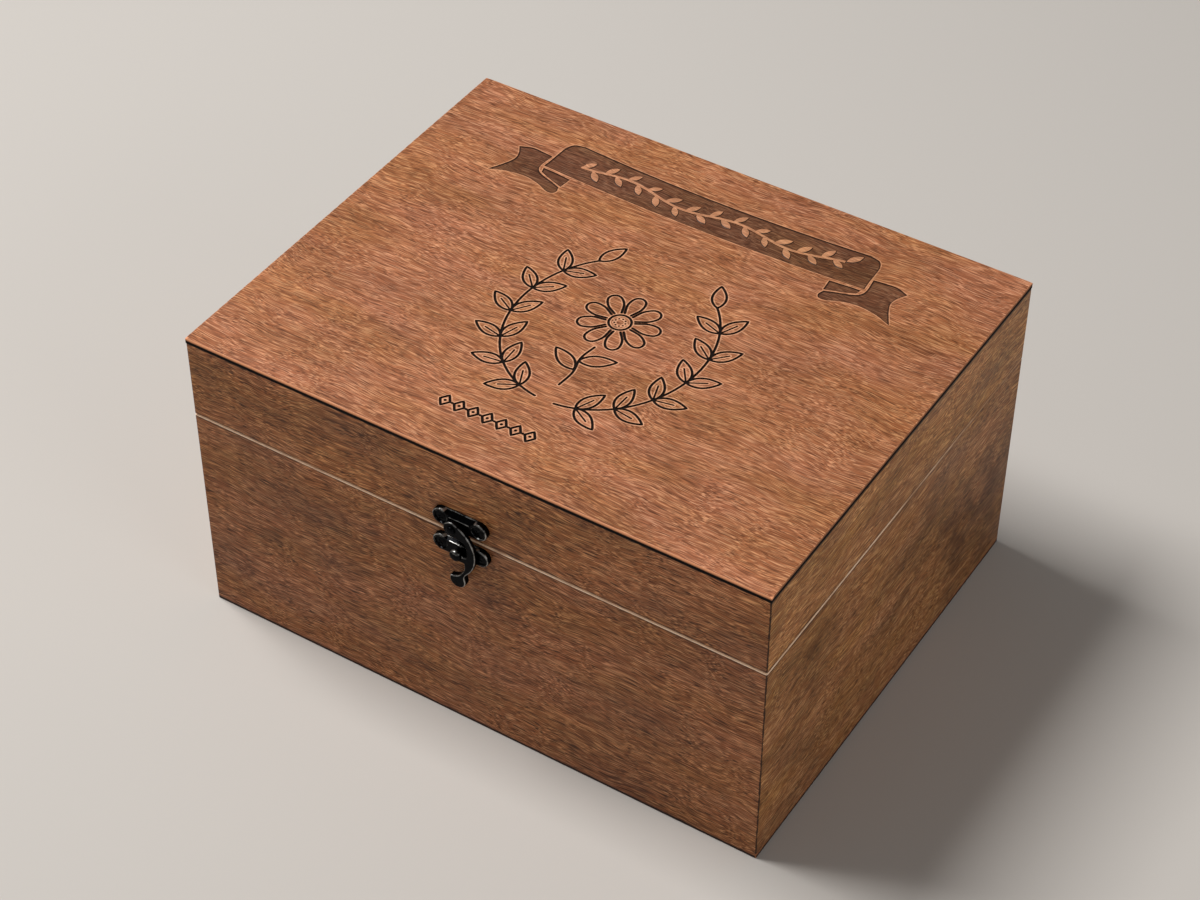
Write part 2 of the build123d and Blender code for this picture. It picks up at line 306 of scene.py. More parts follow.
def sawn_and_raw(add, y, into_board, uneven, blotch):
    """The colour of the seam: a raw line outside, and plies with glue lines between the halves."""
    layer = add("ShaderNodeMath", {0: into_board, 1: PLY}, operation="DIVIDE")
    layer = add("ShaderNodeMath", {0: layer}, operation="FRACT")
    glue_line = add("ShaderNodeMapRange", {
        "Value": layer, "From Min": 0.8, "From Max": 0.9, "To Max": 0.6})
    to_back = add("ShaderNodeMapRange", {"Value": y, "From Min": -40.0, "From Max": 90.0, "To Max": 0.5})
    stain_share = add("ShaderNodeMapRange", {
        "Value": add("ShaderNodeMath", {0: to_back, 1: blotch}), "From Min": 0.5, "From Max": 0.9,
        "To Max": 0.8})
    sawn_share = add("ShaderNodeMapRange", {"Value": into_board, "From Min": 0.2, "From Max": 0.7})
    raw, sawn = linear("#FFEBD2"), linear("#E6CBA9")
    for share, colour in ((uneven, linear("#FFD2AE")), (stain_share, linear("#B07848"))):
        raw = add("ShaderNodeMix", {"Factor": share, "A": raw, "B": colour}, data_type="RGBA")
    for share, colour in ((uneven, linear("#CDA67C")), (glue_line, linear("#8A5F3E"))):
        sawn = add("ShaderNodeMix", {"Factor": share, "A": sawn, "B": colour}, data_type="RGBA")
    return add("ShaderNodeMix", {"Factor": sawn_share, "A": raw, "B": sawn}, data_type="RGBA")


print("plies of", PLY, "mm show where the box was sawn open")

# %% [markdown]
# ## The finish of the boards
# Knots, stain patches and the painted shade at the back of the right side darken the
# stained birch first, and the lid's boards are made a little lighter than the case's.
# Then the lines at the edges are laid on, each by its distance, with a width, a softness
# and a strength. Noise moves each line a little in and out, as a real one is uneven.

# %% Finish of the boards
BLOTCH, UNEVEN = 14.3, 3.85
LID_TONE = (1.14, 1.15, 1.08, 1.0)


def board_finish(name, kind, tint, patchy, crisp):
    """Stained birch for the walls, with its knots, stains and painted shade, and with what shows along
    its edges.
    """
    material, add, shader, place, base = stained_birch(name, kind == "short", tint, patchy, crisp)
    x, y, z = add("ShaderNodeSeparateXYZ", {"Vector": place}).outputs
    blotch, uneven = (add("ShaderNodeTexNoise", {"Vector": place, "Scale": 1 / size, "Detail": 3.0})
                      for size in (BLOTCH, UNEVEN))
    # Knots, stain patches and the painted shade at the back of the right side each darken the wood with
    # #7A6A60.
    for middle, size, strength in knots_stains_and_shade[kind]:
        oval = add("ShaderNodeMapping", {
            "Vector": place, "Location": tuple(-m / s for m, s in zip(middle, size)),
            "Scale": tuple(1 / s for s in size)})
        reach = add("ShaderNodeVectorMath", {0: oval}, operation="LENGTH").outputs["Value"]
        torn = add("ShaderNodeMath", {0: blotch, 1: 1.6, 2: reach}, operation="MULTIPLY_ADD")
        share = add("ShaderNodeMapRange", {
            "Value": torn, "From Min": 0.7, "From Max": 1.8, "To Min": strength, "To Max": 0.0},
            interpolation_type="SMOOTHSTEP")
        base = add("ShaderNodeMix", {"Factor": share, "A": base, "B": linear("#7A6A60")},
                   data_type="RGBA", blend_type="MULTIPLY")
    # Above the seam the walls belong to the lid, and are made a little lighter.
    on_lid = add("ShaderNodeMath", {0: z, 1: seam}, operation="GREATER_THAN")
    base = add("ShaderNodeMix", {"Factor": on_lid, "A": base, "B": LID_TONE},
               data_type="RGBA", blend_type="MULTIPLY")

    inward = dict(enumerate(inward_distances(add, x, y)))
    corner, into_board = (add("ShaderNodeMath", inward, operation=way) for way in ("MAXIMUM", "MINIMUM"))
    above_seam = add("ShaderNodeMath", {0: z, 1: seam}, operation="SUBTRACT")
    from_seam = add("ShaderNodeMath", {0: above_seam}, operation="ABSOLUTE")
    under_panel = add("ShaderNodeMath", {0: panel_under, 1: z}, operation="SUBTRACT")
    seam_colour = sawn_and_raw(add, y, into_board, uneven, blotch)
    wobble = add("ShaderNodeMath", {0: uneven, 1: 1.1, 2: -0.55}, operation="MULTIPLY_ADD")
    for distance, roughness, edge, soft, strength, colour in (
            (corner, 1.0, 0.35, 0.40, 0.92, linear("#22120A")),
            (from_seam, 1.0, 0.9, 1.2, 0.50, linear("#3A2113")),
            (from_seam, 0.25, 0.60, 0.15, 1.0, seam_colour),
            (under_panel, 1.0, shadow_of_panel[kind], 0.4, 0.8, linear("#0A0503"))):
        rough = add("ShaderNodeMath", {0: wobble, 1: roughness, 2: distance}, operation="MULTIPLY_ADD")
        share = add("ShaderNodeMapRange", {
            "Value": rough, "From Min": edge, "From Max": edge + soft, "To Min": strength, "To Max": 0.0},
            interpolation_type="SMOOTHSTEP")
        base = add("ShaderNodeMix", {"Factor": share, "A": base, "B": colour}, data_type="RGBA")
    finish_with(shader, Base_Color=base)
    return material


print("knots are torn by patches of", BLOTCH, "mm and edges by", UNEVEN, "mm")

# %% [markdown]
# ## The walls
# The walls keep their solids' own shape, which is plain board, and only change their
# finish. The short boards are a little more yellow, a painted tint for the light on the
# right side, and more patchy; the long ones are crisper.


# %% Walls
def wear(cad_name, material):
    """Gives a solid of the frame a material in place of its plain one."""
    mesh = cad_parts[cad_name].data
    mesh.materials.clear()
    mesh.materials.append(material)


long_wood = board_finish("stained_birch_plywood_long_boards", "long", "#E7E0CF", 0.8, 1.4)
# The short boards' yellower tint is painted light: it matches how the right side is lit.
short_wood_with_side_tint = board_finish("stained_birch_plywood_short_boards_side_tint", "short", "#EBF1D8", 1.1, 1.1)
for wood, sides in ((long_wood, ("front", "back")), (short_wood_with_side_tint, ("left", "right"))):
    for side in sides:
        wear(f"case_{side}_wall", wood)
        wear(f"lid_{side}_wall", wood)
print("walls wear", long_wood.name, "and", short_wood_with_side_tint.name)

# %% [markdown]
# ## The panels
# Their broad faces are stained like the boards. Their thin edges are darker: the bottom
# panel is only dark along the table, its burnt edge with painted contact shade, where it
# is hard to tell from the wall above it, while the lid panel was cut by laser, which burnt
# its edge nearly black below a worn brown arris, and its left and right edges are
# darkened further as painted shade. A colour ramp over the height of the edge gives each
# its bands.

# %% Panel finish
PANEL, PANEL_UNEVEN = 3.0, 3.33
EDGE_SKIN = 0.08


def panel_finish(name, foot, bands, painted_side_shade="#FFFFFF"):
    """Stained birch for a panel that starts at this height, with bands on its edge and painted shade on
    its side edges.
    """
    material, add, shader, place, base = stained_birch(name, tint="#F6F0EC", patchy=0.55)
    x, y, z = add("ShaderNodeSeparateXYZ", {"Vector": place}).outputs
    uneven = add("ShaderNodeTexNoise", {"Vector": place, "Scale": 1 / PANEL_UNEVEN, "Detail": 3.0})
    wobble = add("ShaderNodeMath", {0: uneven, 1: 0.8, 2: -0.4 - foot}, operation="MULTIPLY_ADD")
    rise = add("ShaderNodeMath", {0: z, 1: wobble})
    rise = add("ShaderNodeMath", {0: rise, 1: PANEL}, operation="DIVIDE")
    outer = []
    for coordinate, half in ((x, half_width), (y, half_depth)):
        outward = add("ShaderNodeMath", {0: coordinate}, operation="ABSOLUTE")
        outer.append(add("ShaderNodeMath", {0: outward, 1: half - EDGE_SKIN}, operation="GREATER_THAN"))
    on_edge = add("ShaderNodeMath", dict(enumerate(outer)), operation="MAXIMUM")
    shade = add("ShaderNodeValToRGB", {"Fac": rise}, bands)
    banded = add("ShaderNodeMix", {"Factor": 1.0, "A": base, "B": shade},
                 data_type="RGBA", blend_type="MULTIPLY")
    base = add("ShaderNodeMix", {"Factor": on_edge, "A": base, "B": banded}, data_type="RGBA")
    # Painted shade: the left and right edges are multiplied by the side colour.
    base = add("ShaderNodeMix", {"Factor": outer[0], "A": base, "B": linear(painted_side_shade)},
               data_type="RGBA", blend_type="MULTIPLY")
    finish_with(shader, Base_Color=base)
    return material, add, shader, base, on_edge


# The foot's dark bands are partly its burnt edge and partly painted contact shade along the table.
foot_burn_and_shade_bands = [(0.0, linear("#241C19")), (0.42, linear("#443830")),
              (0.62, linear("#D8D0CA")), (1.0, linear("#FFFFFF"))]
panel_wood = panel_finish("stained_birch_plywood_bottom_panel", 0.0, foot_burn_and_shade_bands)[0]
wear("case_bottom_panel", panel_wood)
print("bottom panel wears", panel_wood.name)

# %% [markdown]
# ## Lines, arcs and distances
# The engraved lid and the cast plates are alike in one way: each is a flat drawing with
# a height that changes over it. Before the heights come the lines of the drawing. They
# are plain polylines, arrays of points in millimetres, so that a few short functions can
# space them evenly, bend them, move them sideways and measure how far a point lies from
# them.


# %% Lines and arcs
def spaced(points, step, closed=False):
    """A polyline with its points about one step apart."""
    points = [np.array(p, float) for p in points]
    if closed:
        points = points + points[:1]
    out = []
    for a, b in zip(points, points[1:]):
        count = max(1, int(round(np.linalg.norm(b - a) / step)))
        out += [a + (b - a) * i / count for i in range(count)]
    return np.array(out if closed else out + [points[-1]])


def smooth_path(points, step):
    """A Catmull-Rom curve through points, as a polyline with about this step."""
    p = [np.array(q, float) for q in points]
    p = [2 * p[0] - p[1]] + p + [2 * p[-1] - p[-2]]
    out = []
    for a, b, c, d in zip(p, p[1:], p[2:], p[3:]):
        count = max(2, int(np.linalg.norm(c - b) / step))
        for t in (i / count for i in range(count)):
            out.append(0.5 * (2 * b + (c - a) * t + (2 * a - 5 * b + 4 * c - d) * t**2
                              + (3 * b - a - 3 * c + d) * t**3))
    return np.array(out + [p[-2]])


def arc(centre, radius, start, stop, step):
    """Points of an arc, from one angle to another in degrees, about this step apart."""
    count = max(2, int(abs(math.radians(stop - start)) * radius / step))
    angles = np.radians(np.linspace(start, stop, count + 1))
    return np.stack([centre[0] + radius * np.cos(angles), centre[1] + radius * np.sin(angles)], 1)


def circle(centre, radius, step):
    """A closed circle of points."""
    return arc(centre, radius, 0, 360, step)[:-1]


def chain(*parts):
    """Lines and arcs in a row, as one line that keeps the point they share only once."""
    points = np.concatenate([np.asarray(part, float) for part in parts])
    moves = np.linalg.norm(np.diff(points, axis=0), axis=1) > 1e-9
    return points[np.concatenate([[True], moves])]


print("a circle of 10 mm in steps of 1 mm has", len(circle((0, 0), 5.0, 1.0)), "points")

# %% [markdown]
# ## Measuring on the drawing
# Every height below asks the same two things of a point: how far it is from a line, and
# whether it is inside an outline. Numpy answers for all points at once.


# %% Distance and inside
def distance_to(points, line, closed):
    """How far each point lies from a polyline, or from a single point."""
    points, a = np.asarray(points, float), np.asarray(line, float)
    if len(a) == 1:
        return np.linalg.norm(points - a[0], axis=1)
    b = np.roll(a, -1, 0) if closed else a[1:]
    a = a[: len(b)]
    run = b - a
    length2 = np.maximum((run**2).sum(1), 1e-12)
    best = np.full(len(points), np.inf)
    for low in range(0, len(points), 4000):
        chunk = points[low : low + 4000, None, :]
        t = np.clip(((chunk - a) * run).sum(2) / length2, 0, 1)
        best[low : low + 4000] = np.sqrt((((chunk - a) - t[..., None] * run) ** 2).sum(2)).min(1)
    return best


def inside(points, line):
    """Whether each point lies inside a closed polyline."""
    x, y = np.asarray(points, float).T
    result = np.zeros(len(x), bool)
    for (ax, ay), (bx, by) in zip(line, np.roll(line, -1, 0)):
        if ay != by:
            result ^= ((ay > y) != (by > y)) & (x < (bx - ax) * (y - ay) / (by - ay) + ax)
    return result


to_circle = distance_to([(0.0, 0.0)], circle((0, 0), 5.0, 1.0), True)[0]
print("the middle of a circle of 10 mm lies", to_circle.round(2), "mm from it")

# %% [markdown]
# ## Points where the surface bends
# A mesh needs points where its surface bends, and a cast or a worn edge bends near its
# outline. A copy of the outline that is moved inwards gives rows of such points. Where
# the copy comes too close to the outline, as in a tight corner, its points are left out.
# A rounded edge is a quarter of a circle.


# %% Rings and rounded edges
def beside(line, offset, closed):
    """A copy of a polyline moved sideways, to its left where the offset is positive."""
    line = np.asarray(line, float)
    along = np.roll(line, -1, 0) - np.roll(line, 1, 0) if closed else np.gradient(line, axis=0)
    along /= np.maximum(np.linalg.norm(along, axis=1)[:, None], 1e-9)
    return line + offset * np.stack([-along[:, 1], along[:, 0]], 1)


def rings_inside(line, depths):
    """Points inside a closed anticlockwise outline at set distances from it."""
    found = []
    for depth in depths:
        moved = beside(line, depth, True)
        keep = (distance_to(moved, line, True) > 0.97 * depth) & inside(moved, line)
        found.append(moved[keep])
    return np.concatenate(found)


def rounded_edge(distance, radius):
    """How far a face drops near its edge, where the edge is rounded to this radius."""
    short = np.clip(radius - distance, 0, radius)
    return radius - np.sqrt(np.maximum(radius**2 - short**2, 0))


print("an edge of 1 mm drops", rounded_edge(np.array([0.0, 0.3, 1.0]), 1.0).round(2), "mm")

# %% [markdown]
# ## From a drawing to triangles
# Outlines and points are joined into triangles that keep the outlines as edges. A
# Delaunay triangulation with constraints does this, and it also splits lines that cross,
# which engraved lines do. What lies outside the outline or in a hole is left out, and
# every triangle is turned the same way round.


# %% Triangles
def triangles(corners, edges, outline, holes):
    """Joins corners into anticlockwise triangles, keeps the edges, and leaves out what is outside."""
    found = delaunay_2d_cdt([Vector(p) for p in corners], edges, [], 0, 1e-6, False)
    places, faces = (np.array([tuple(part) for part in found[n]]) for n in (0, 2))
    middle = places[faces].mean(1)
    good = inside(middle, outline)
    for hole in holes:
        good &= ~inside(middle, hole)
    faces = faces[good]
    a, b, c = (places[faces[:, i]] for i in range(3))
    area = (b[:, 0] - a[:, 0]) * (c[:, 1] - a[:, 1]) - (b[:, 1] - a[:, 1]) * (c[:, 0] - a[:, 0])
    faces = faces[np.abs(area) > 1e-9]
    area = area[np.abs(area) > 1e-9]
    faces[area < 0] = faces[area < 0][:, ::-1]
    return places, faces


square = [(-2, -2), (2, -2), (2, 2), (-2, 2)]
found = triangles(square, [(0, 1), (1, 2), (2, 3), (3, 0)], square, [])
print("a square makes", len(found[1]), "triangles")

# %% [markdown]
# ## A relief from a drawing
# One function makes every relief. It joins the drawing into triangles and lifts each
# corner by a height function. Walls and a plain back close the solid, and the back has
# corners only along its rim.


# %% The relief function
def relief(outline, height, back, holes=(), loops=(), lines=(), points=()):
    """A closed solid over a drawing: its corners (u, v, height), its faces and its front's places."""
    drawn, edges = [], []
    closed_lines = [(loop, True) for loop in (outline, *holes, *loops)]
    for line, closed in closed_lines + [(line, False) for line in lines]:
        start, count = len(drawn), len(line)
        drawn += list(line)
        edges += [(start + i, start + (i + 1) % count) for i in range(count if closed else count - 1)]
    places, faces = triangles(drawn + list(points), edges, outline, holes)
    sides = {(f[i], f[(i + 1) % 3]) for f in faces for i in range(3)}
    rim = [(a, b) for a, b in sorted(sides) if (b, a) not in sides]
    rim_corners = sorted({i for side in rim for i in side})
    order = {i: n for n, i in enumerate(rim_corners)}
    lower = places[rim_corners]
    back_places, back_faces = triangles(lower, [(order[a], order[b]) for a, b in rim], outline, holes)
    count = len(places)
    corners = [(u, v, h) for (u, v), h in zip(places, height(places))]
    corners += [(u, v, h) for (u, v), h in zip(lower, back(lower))]
    result = [tuple(f) for f in faces]
    result += [(b, a, count + order[a], count + order[b]) for a, b in rim]
    index = {tuple(np.round(p, 6)): count + n for n, p in enumerate(lower)}
    result += [tuple(index[tuple(np.round(back_places[i], 6))] for i in f[::-1]) for f in back_faces]
    return np.array(corners), result, places


def level(height):
    """A flat back at this height."""
    return lambda places: np.full(len(places), float(height))


def set_upright(corners, origin, along_u, along_v):
    """Corners (u, v, height) of a drawing as places in metres, with its height pointing outwards."""
    u, v = np.array(along_u, float), np.array(along_v, float)
    return (np.array(origin, float) + corners @ np.array([u, v, np.cross(u, v)])) * MM


unit = relief(circle((0, 0), 5.0, 1.0), level(1.0), level(0.0))
print("a plain disc has", len(unit[0]), "corners and", len(unit[1]), "faces")

# %% [markdown]
# ## A finished piece
# Each piece becomes one object at the origin, with its place in its mesh. It is shaded
# smooth with sharp edges kept, rides on the body that it moves with, and takes the place
# of one solid of the frame. A relief also carries numbers on its corners, which tell the
# material where an edge or a cut is.


# %% Finished pieces
def finished(name, mesh, body, replaced, sharp):
    """Makes a mesh a piece of the box, on its body and in the place of its solid."""
    mesh.name = name
    mesh.shade_smooth()
    mesh.set_sharp_from_angle(angle=math.radians(sharp))
    piece = in_scene(name, mesh)
    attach(piece, body)
    if replaced:
        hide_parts(replaced)
    print(name, len(mesh.polygons), "faces on", body)


def new_piece(name, places, faces, material, body, replaced, slot="black_bronze", **marks):
    """A piece from corners and faces, with an optional number for each corner."""
    used = sorted({i for f in faces for i in f})
    new = {i: n for n, i in enumerate(used)}
    mesh = bpy.data.meshes.new(name)
    mesh.from_pydata([tuple(places[i]) for i in used], [], [tuple(new[i] for i in f) for f in faces])
    for key, values in marks.items():
        layer = mesh.attributes.new(key, "FLOAT", "POINT")
        layer.data.foreach_set("value", np.asarray(values, np.float32)[used])
    mesh.validate()
    mesh.materials.append(material)
    finished(name, mesh, body, replaced, SHARP)


def for_all(corners, values, rest=0.0):
    """A number for every corner: these for the first ones, and a rest value for the others."""
    return np.concatenate([values, np.full(len(corners) - len(values), rest)])


SHARP = 32
print("edges sharper than", SHARP, "degrees stay sharp")

# %% [markdown]
# ## The ribbon on the lid
# A scroll ribbon runs along the back of the lid. The laser took its field down by a few
# tenths of a millimetre and left a thin line of wood standing between the band, the
# fold under it and the tail behind it. The drawing is made for the left end and
# mirrored for the right. Outlines run anticlockwise, because the functions above take
# their left to be inside.

# %% Ribbon outlines
RIBBON_STEP = 0.7
ribbon_middle = 1.0
band_end, band_half = -77, 78


def mirrored(line):
    """The same outline on the other side of the ribbon's middle, still anticlockwise."""
    line = np.asarray(line, float)[::-1].copy()
    line[:, 0] = 2 * ribbon_middle - line[:, 0]
    return line


def low_edge(x, end_height=72.9, sag=2.4):
    """The height of the band's lower edge, which sinks a little towards the middle."""
    return end_height - sag * (1 - ((x - ribbon_middle) / band_half) ** 2)


def top_edge(x):
    """The height of the band's upper edge, which sinks a little more."""
    return low_edge(x, 96.4, 3.2)


band_left = smooth_path([(-85.7, 73.4), (-85.2, 79), (-84.9, 86), (-84.4, 91), (-82.2, 94.9),
                         (band_end, 96.4)], 0.6)
band_low = [(x, low_edge(x)) for x in np.linspace(-84.4, ribbon_middle, 60)]
band_top = [(x, top_edge(x)) for x in np.linspace(band_end, ribbon_middle, 60)]
half_band = chain(band_low[::-1], band_left, band_top)
ribbon_band = np.concatenate([half_band, mirrored(half_band)[1:-1]])[::-1]
tail_sides = (
    [(-104.3, 80.1), (-101.6, 75.4), (-100.7, 70.6), (-102.9, 64.6), (-107.1, 57.0)],
    [(-107.1, 57.0), (-98.1, 60.4), (-88.5, 61.6), (-80.5, 59.9), (-74.4, 57.2), (-71.0, 57.2),
     (-69.7, 59.4), (-70.6, 62.6)],
    [(-70.6, 62.6), (-75.6, 64.5), (-82.6, 66.8), (-86.0, 69.2), (-87.2, 73.1), (-86.3, 81.5)],
    [(-86.3, 81.5), (-92.4, 82.2), (-98.2, 82.4), (-104.3, 80.1)],
)
ribbon_tail = chain(*[smooth_path(side, RIBBON_STEP) for side in tail_sides])
ribbon_tail = spaced(ribbon_tail, RIBBON_STEP, True)
ribbon_fold = spaced([(-84.9, 71.8), (-84.0, 68.7), (-80.0, 66.9), (-74.7, 65.1), (-70.0, 63.5),
                      (-69.3, 70.5), (-78.0, 71.4)], RIBBON_STEP, True)
ribbon_parts = [ribbon_band, ribbon_tail, ribbon_fold, mirrored(ribbon_tail), mirrored(ribbon_fold)]
print("ribbon", round(2 * (ribbon_middle - ribbon_tail[:, 0].min()), 1), "mm long")

# %% [markdown]
# ## The drawing burnt into the middle
# In the middle of the lid stands a daisy in an open wreath of leaves, drawn with one
# burnt line about a millimetre wide. Leaves are all one shape, set along two bowed
# branches, so a function draws a leaf and a loop places them.

# %% Wreath
LINE = 1.15
LEAF_SIZE, RIB = (15.5, 6.6), 9.5
BRANCH_WIDE, BRANCH_TALL, LEAF_TURN = 47, 54, 48
wreath_middle = (7.0, -14.0)
burnt_lines = []


def burn(points, step, closed=False, width=LINE):
    """Adds a line to the drawing, with a point about every step."""
    burnt_lines.append((spaced(points, step, closed), closed, width))


def turned_to(angle, points, base):
    """A shape turned by an angle in degrees and moved to its base."""
    c, s = math.cos(math.radians(angle)), math.sin(math.radians(angle))
    return np.asarray(points) @ np.array([[c, s], [-s, c]]) + np.array(base)


def leaf_line(base, angle, length, width):
    """The closed outline of a pointed leaf that starts at its base."""
    t = np.linspace(0, 1, 13)
    side = 0.5 * width * np.sin(np.pi * t**0.85) ** 0.9
    upper, lower = (np.stack([t * length, way * side], 1) for way in (1, -1))
    return turned_to(angle, np.concatenate([upper, lower[::-1][1:-1]]), base)


for side in (-1, 1):
    angles = np.radians(range(6, 139, 4))
    branch = np.stack([side * BRANCH_WIDE * np.sin(angles), -BRANCH_TALL * np.cos(angles)], 1)
    branch = branch + wreath_middle
    burn(branch, 1.2)
    for i in range(3, len(branch) - 1, 5):
        run = branch[i] - branch[i - 1]
        heading = math.degrees(math.atan2(run[1], run[0]))
        for turn in (LEAF_TURN, -LEAF_TURN):
            burn(leaf_line(branch[i], heading + turn, *LEAF_SIZE), 1.0, True)
            burn(turned_to(heading + turn, [(0, 0), (RIB, 0)], branch[i]), 1.2, width=0.8)
    burn(leaf_line(branch[-1], heading, *LEAF_SIZE), 1.0, True)
print(len(burnt_lines), "lines in the wreath")

# %% [markdown]
# ## Daisy and row of diamonds
# The daisy has nine petals round a ring, each turned a ninth of a full turn from the
# last, with a dot at its foot, and a stem with two leaves. A row of small diamonds with
# dots between them stands near the front edge. A dot is a line with one point.

# %% Daisy and diamonds
daisy, petals = (7.0, -6.0), 9
row_left, row_right, row_middle, diamonds = -33.0, 19.0, -91.0, 7
half_petal = [(6.6, -1.6), (12.5, -3.6), (17.6, -2.9)]
petal = smooth_path(half_petal + [(19.3, 0)] + [(u, -v) for u, v in half_petal[::-1]], 1.0)
burn(circle(daisy, 5.2, 1.0), 1.0, True)
for k in range(petals):
    angle = 90 + 360 / petals * k
    burn(turned_to(angle, petal, daisy), 1.0)
    burn(turned_to(angle, [(2.6, 0)], daisy), 1.0, width=1.0)
burn(smooth_path([(6.6, -26.5), (5.4, -36), (7.6, -46), (7.0, -56)], 1.2), 1.2)
for angle, base in ((28, (5.6, -38)), (150, (6.9, -44))):
    burn(leaf_line(base, angle, 17, 7.0), 1.0, True)
pitch, half_pitch = (row_right - row_left - 8) / (diamonds - 1), 3.67
for k in range(diamonds):
    x = row_left + 4 + k * pitch
    burn([(x - 2.6, row_middle), (x, row_middle - 3.6), (x + 2.6, row_middle), (x, row_middle + 3.6)],
         0.9, True, 1.2)
    burn([(x, row_middle)], 1.0, width=1.5)
    if k < diamonds - 1:
        burn([(x + half_pitch, row_middle)], 1.0, width=1.3)
print(len(burnt_lines), "burnt lines")

# %% [markdown]
# ## The engraved lid panel
# A burnt line is a shallow groove with sloping sides. For each line the drawing gets
# outlines at its lip, at its floor and in the wood beside it, and then the height
# function asks how far a corner is from the middle of the line. Half the line's width
# less that distance goes to the material as a number in millimetres: below zero is the
# wood beside the cut, whose rim is a little paler, partly rubbed stain and partly a
# painted highlight on the lip, and above zero is the cut, which is burnt dark. The
# ribbon's sunken field is told in the same way.

# %% Outlines and depths of the engraving
GROOVE, FIELD, SLOPE = 0.5, 0.35, 0.2
RIM, FAR, ARRIS = 0.35, 0.7, 0.35


def line_outlines(line, closed, width):
    """Loops round a burnt line, from the wood beside it to its floor."""
    loops = []
    for reach in (width / 2 + FAR, width / 2 + RIM, width / 2, width / 2 - SLOPE):
        if len(line) == 1:
            loops.append(circle(line[0], reach, 0.5))
        elif closed:
            loops += [beside(line, reach, True), beside(line, -reach, True)]
        else:
            first, last = (math.degrees(math.atan2(run[1], run[0]))
                           for run in (line[1] - line[0], line[-1] - line[-2]))
            left, right = beside(line, reach, False), beside(line, -reach, False)[::-1]
            loops.append(np.concatenate([
                left[1:-1], arc(line[-1], reach, last + 90, last - 90, 0.4),
                right[1:-1], arc(line[0], reach, first - 90, first - 270, 0.4)]))
    return loops


def into_lines(places):
    """How far each place lies inside the nearest burnt line's edge, or outside where negative."""
    found = np.full(len(places), -FAR)
    for line, closed, width in burnt_lines:
        reach = width / 2 + FAR
        low, high = line.min(0) - reach, line.max(0) + reach
        near = np.where(((places >= low) & (places <= high)).all(1))[0]
        if len(near):
            found[near] = np.maximum(found[near], width / 2 - distance_to(places[near], line, closed))
    return found


def into_ribbon(places):
    """How far each place lies inside the ribbon's field, or outside where negative."""
    found = np.full(len(places), -FAR)
    for part in ribbon_parts:
        signed = distance_to(places, part, True) * np.where(inside(places, part), 1, -1)
        found = np.maximum(found, np.minimum(signed, 2 * FAR))
    return found


print("lines are cut", GROOVE, "mm deep and the ribbon", FIELD, "mm")

# %% [markdown]
# ## The lid's face
# The heights come together here: the flat face with its rounded arris, less whichever
# cuts deeper, a burnt line or the ribbon's field. Rings near the edge give the arris
# its points. The three numbers for the material go along with the corners.

# %% Relief of the lid
panel_corners = [(-half_width, -half_depth), (half_width, -half_depth), (half_width, half_depth),
                 (-half_width, half_depth)]
panel_outline = spaced(panel_corners, 6.0, True)
panel_rings = rings_inside(spaced(panel_corners, 3.0, True), (0.1, 0.2, ARRIS, 0.6, 1.2))


def panel_height(places):
    """The lid's face, with its rounded arris, its grooves and its sunken ribbon."""
    from_edge = distance_to(places, panel_outline, True)
    cut = GROOVE * np.clip(into_lines(places) / SLOPE, 0, 1)
    sunk = FIELD * np.clip(into_ribbon(places) / SLOPE, 0, 1)
    return top - rounded_edge(from_edge, ARRIS) - np.maximum(cut, sunk)


loops = [loop for line in burnt_lines for loop in line_outlines(*line)]
for part in ribbon_parts:
    loops += [part] + [beside(part, depth, True) for depth in (-FAR, -RIM, SLOPE, 0.45, 0.8)]
lid_corners, lid_faces, flat = relief(
    panel_outline, panel_height, level(panel_under), loops=loops, points=panel_rings)
from_edge = distance_to(flat, panel_outline, True)
lid_marks = {
    "cut": for_all(lid_corners, into_lines(flat), -FAR),
    "field": for_all(lid_corners, into_ribbon(flat), -FAR),
    "arris": for_all(lid_corners, np.clip(1 - from_edge / 0.6, 0, 1)),
}
print("lid drawing:", len(flat), "corners")

# %% [markdown]
# ## The lid's finish
# The panel's own stain lies under everything. The ribbon's field is only darker, since
# the laser passed over it once, while the burnt lines are nearly black. Just inside the
# field's edge a dark line is its burn with painted shade under the step. Beside each cut
# and round the field the rim is paler, partly where the stain was rubbed off and partly
# as a painted highlight on the lip, and the arris is worn bright, with a painted
# highlight that is strongest along the front. Each band of colour is a ramp over the
# distance that the corners carry, from 1 mm outside a cut to 1 mm inside it.

# %% Finish of the engraved lid
CHIPS = 2.38
edge_bands = [(0.0, linear("#0C0807")), (0.60, linear("#0C0807")), (0.70, linear("#6E4E42")),
              (0.86, linear("#8E6A5A")), (0.95, linear("#DCA894"))]
# 7E4A34 is the painted shade on the lid panel's left and right edges.
lid_wood, add, shader, base, on_edge = panel_finish(
    "stained_birch_plywood_engraved_lid", panel_under, edge_bands, "#7E4A34")
cut_depth, field_depth, wear_and_highlight_mark = (
    add("ShaderNodeAttribute", attribute_name=key).outputs["Fac"] for key in lid_marks)
chipped = add("ShaderNodeTexNoise", {"Vector": place_on_box(add), "Scale": 1 / CHIPS, "Detail": 2.0})
rim_share = add("ShaderNodeMapRange", {
    "Value": chipped, "From Min": 0.35, "From Max": 0.6, "To Min": 0.3, "To Max": 0.9})
bands = []
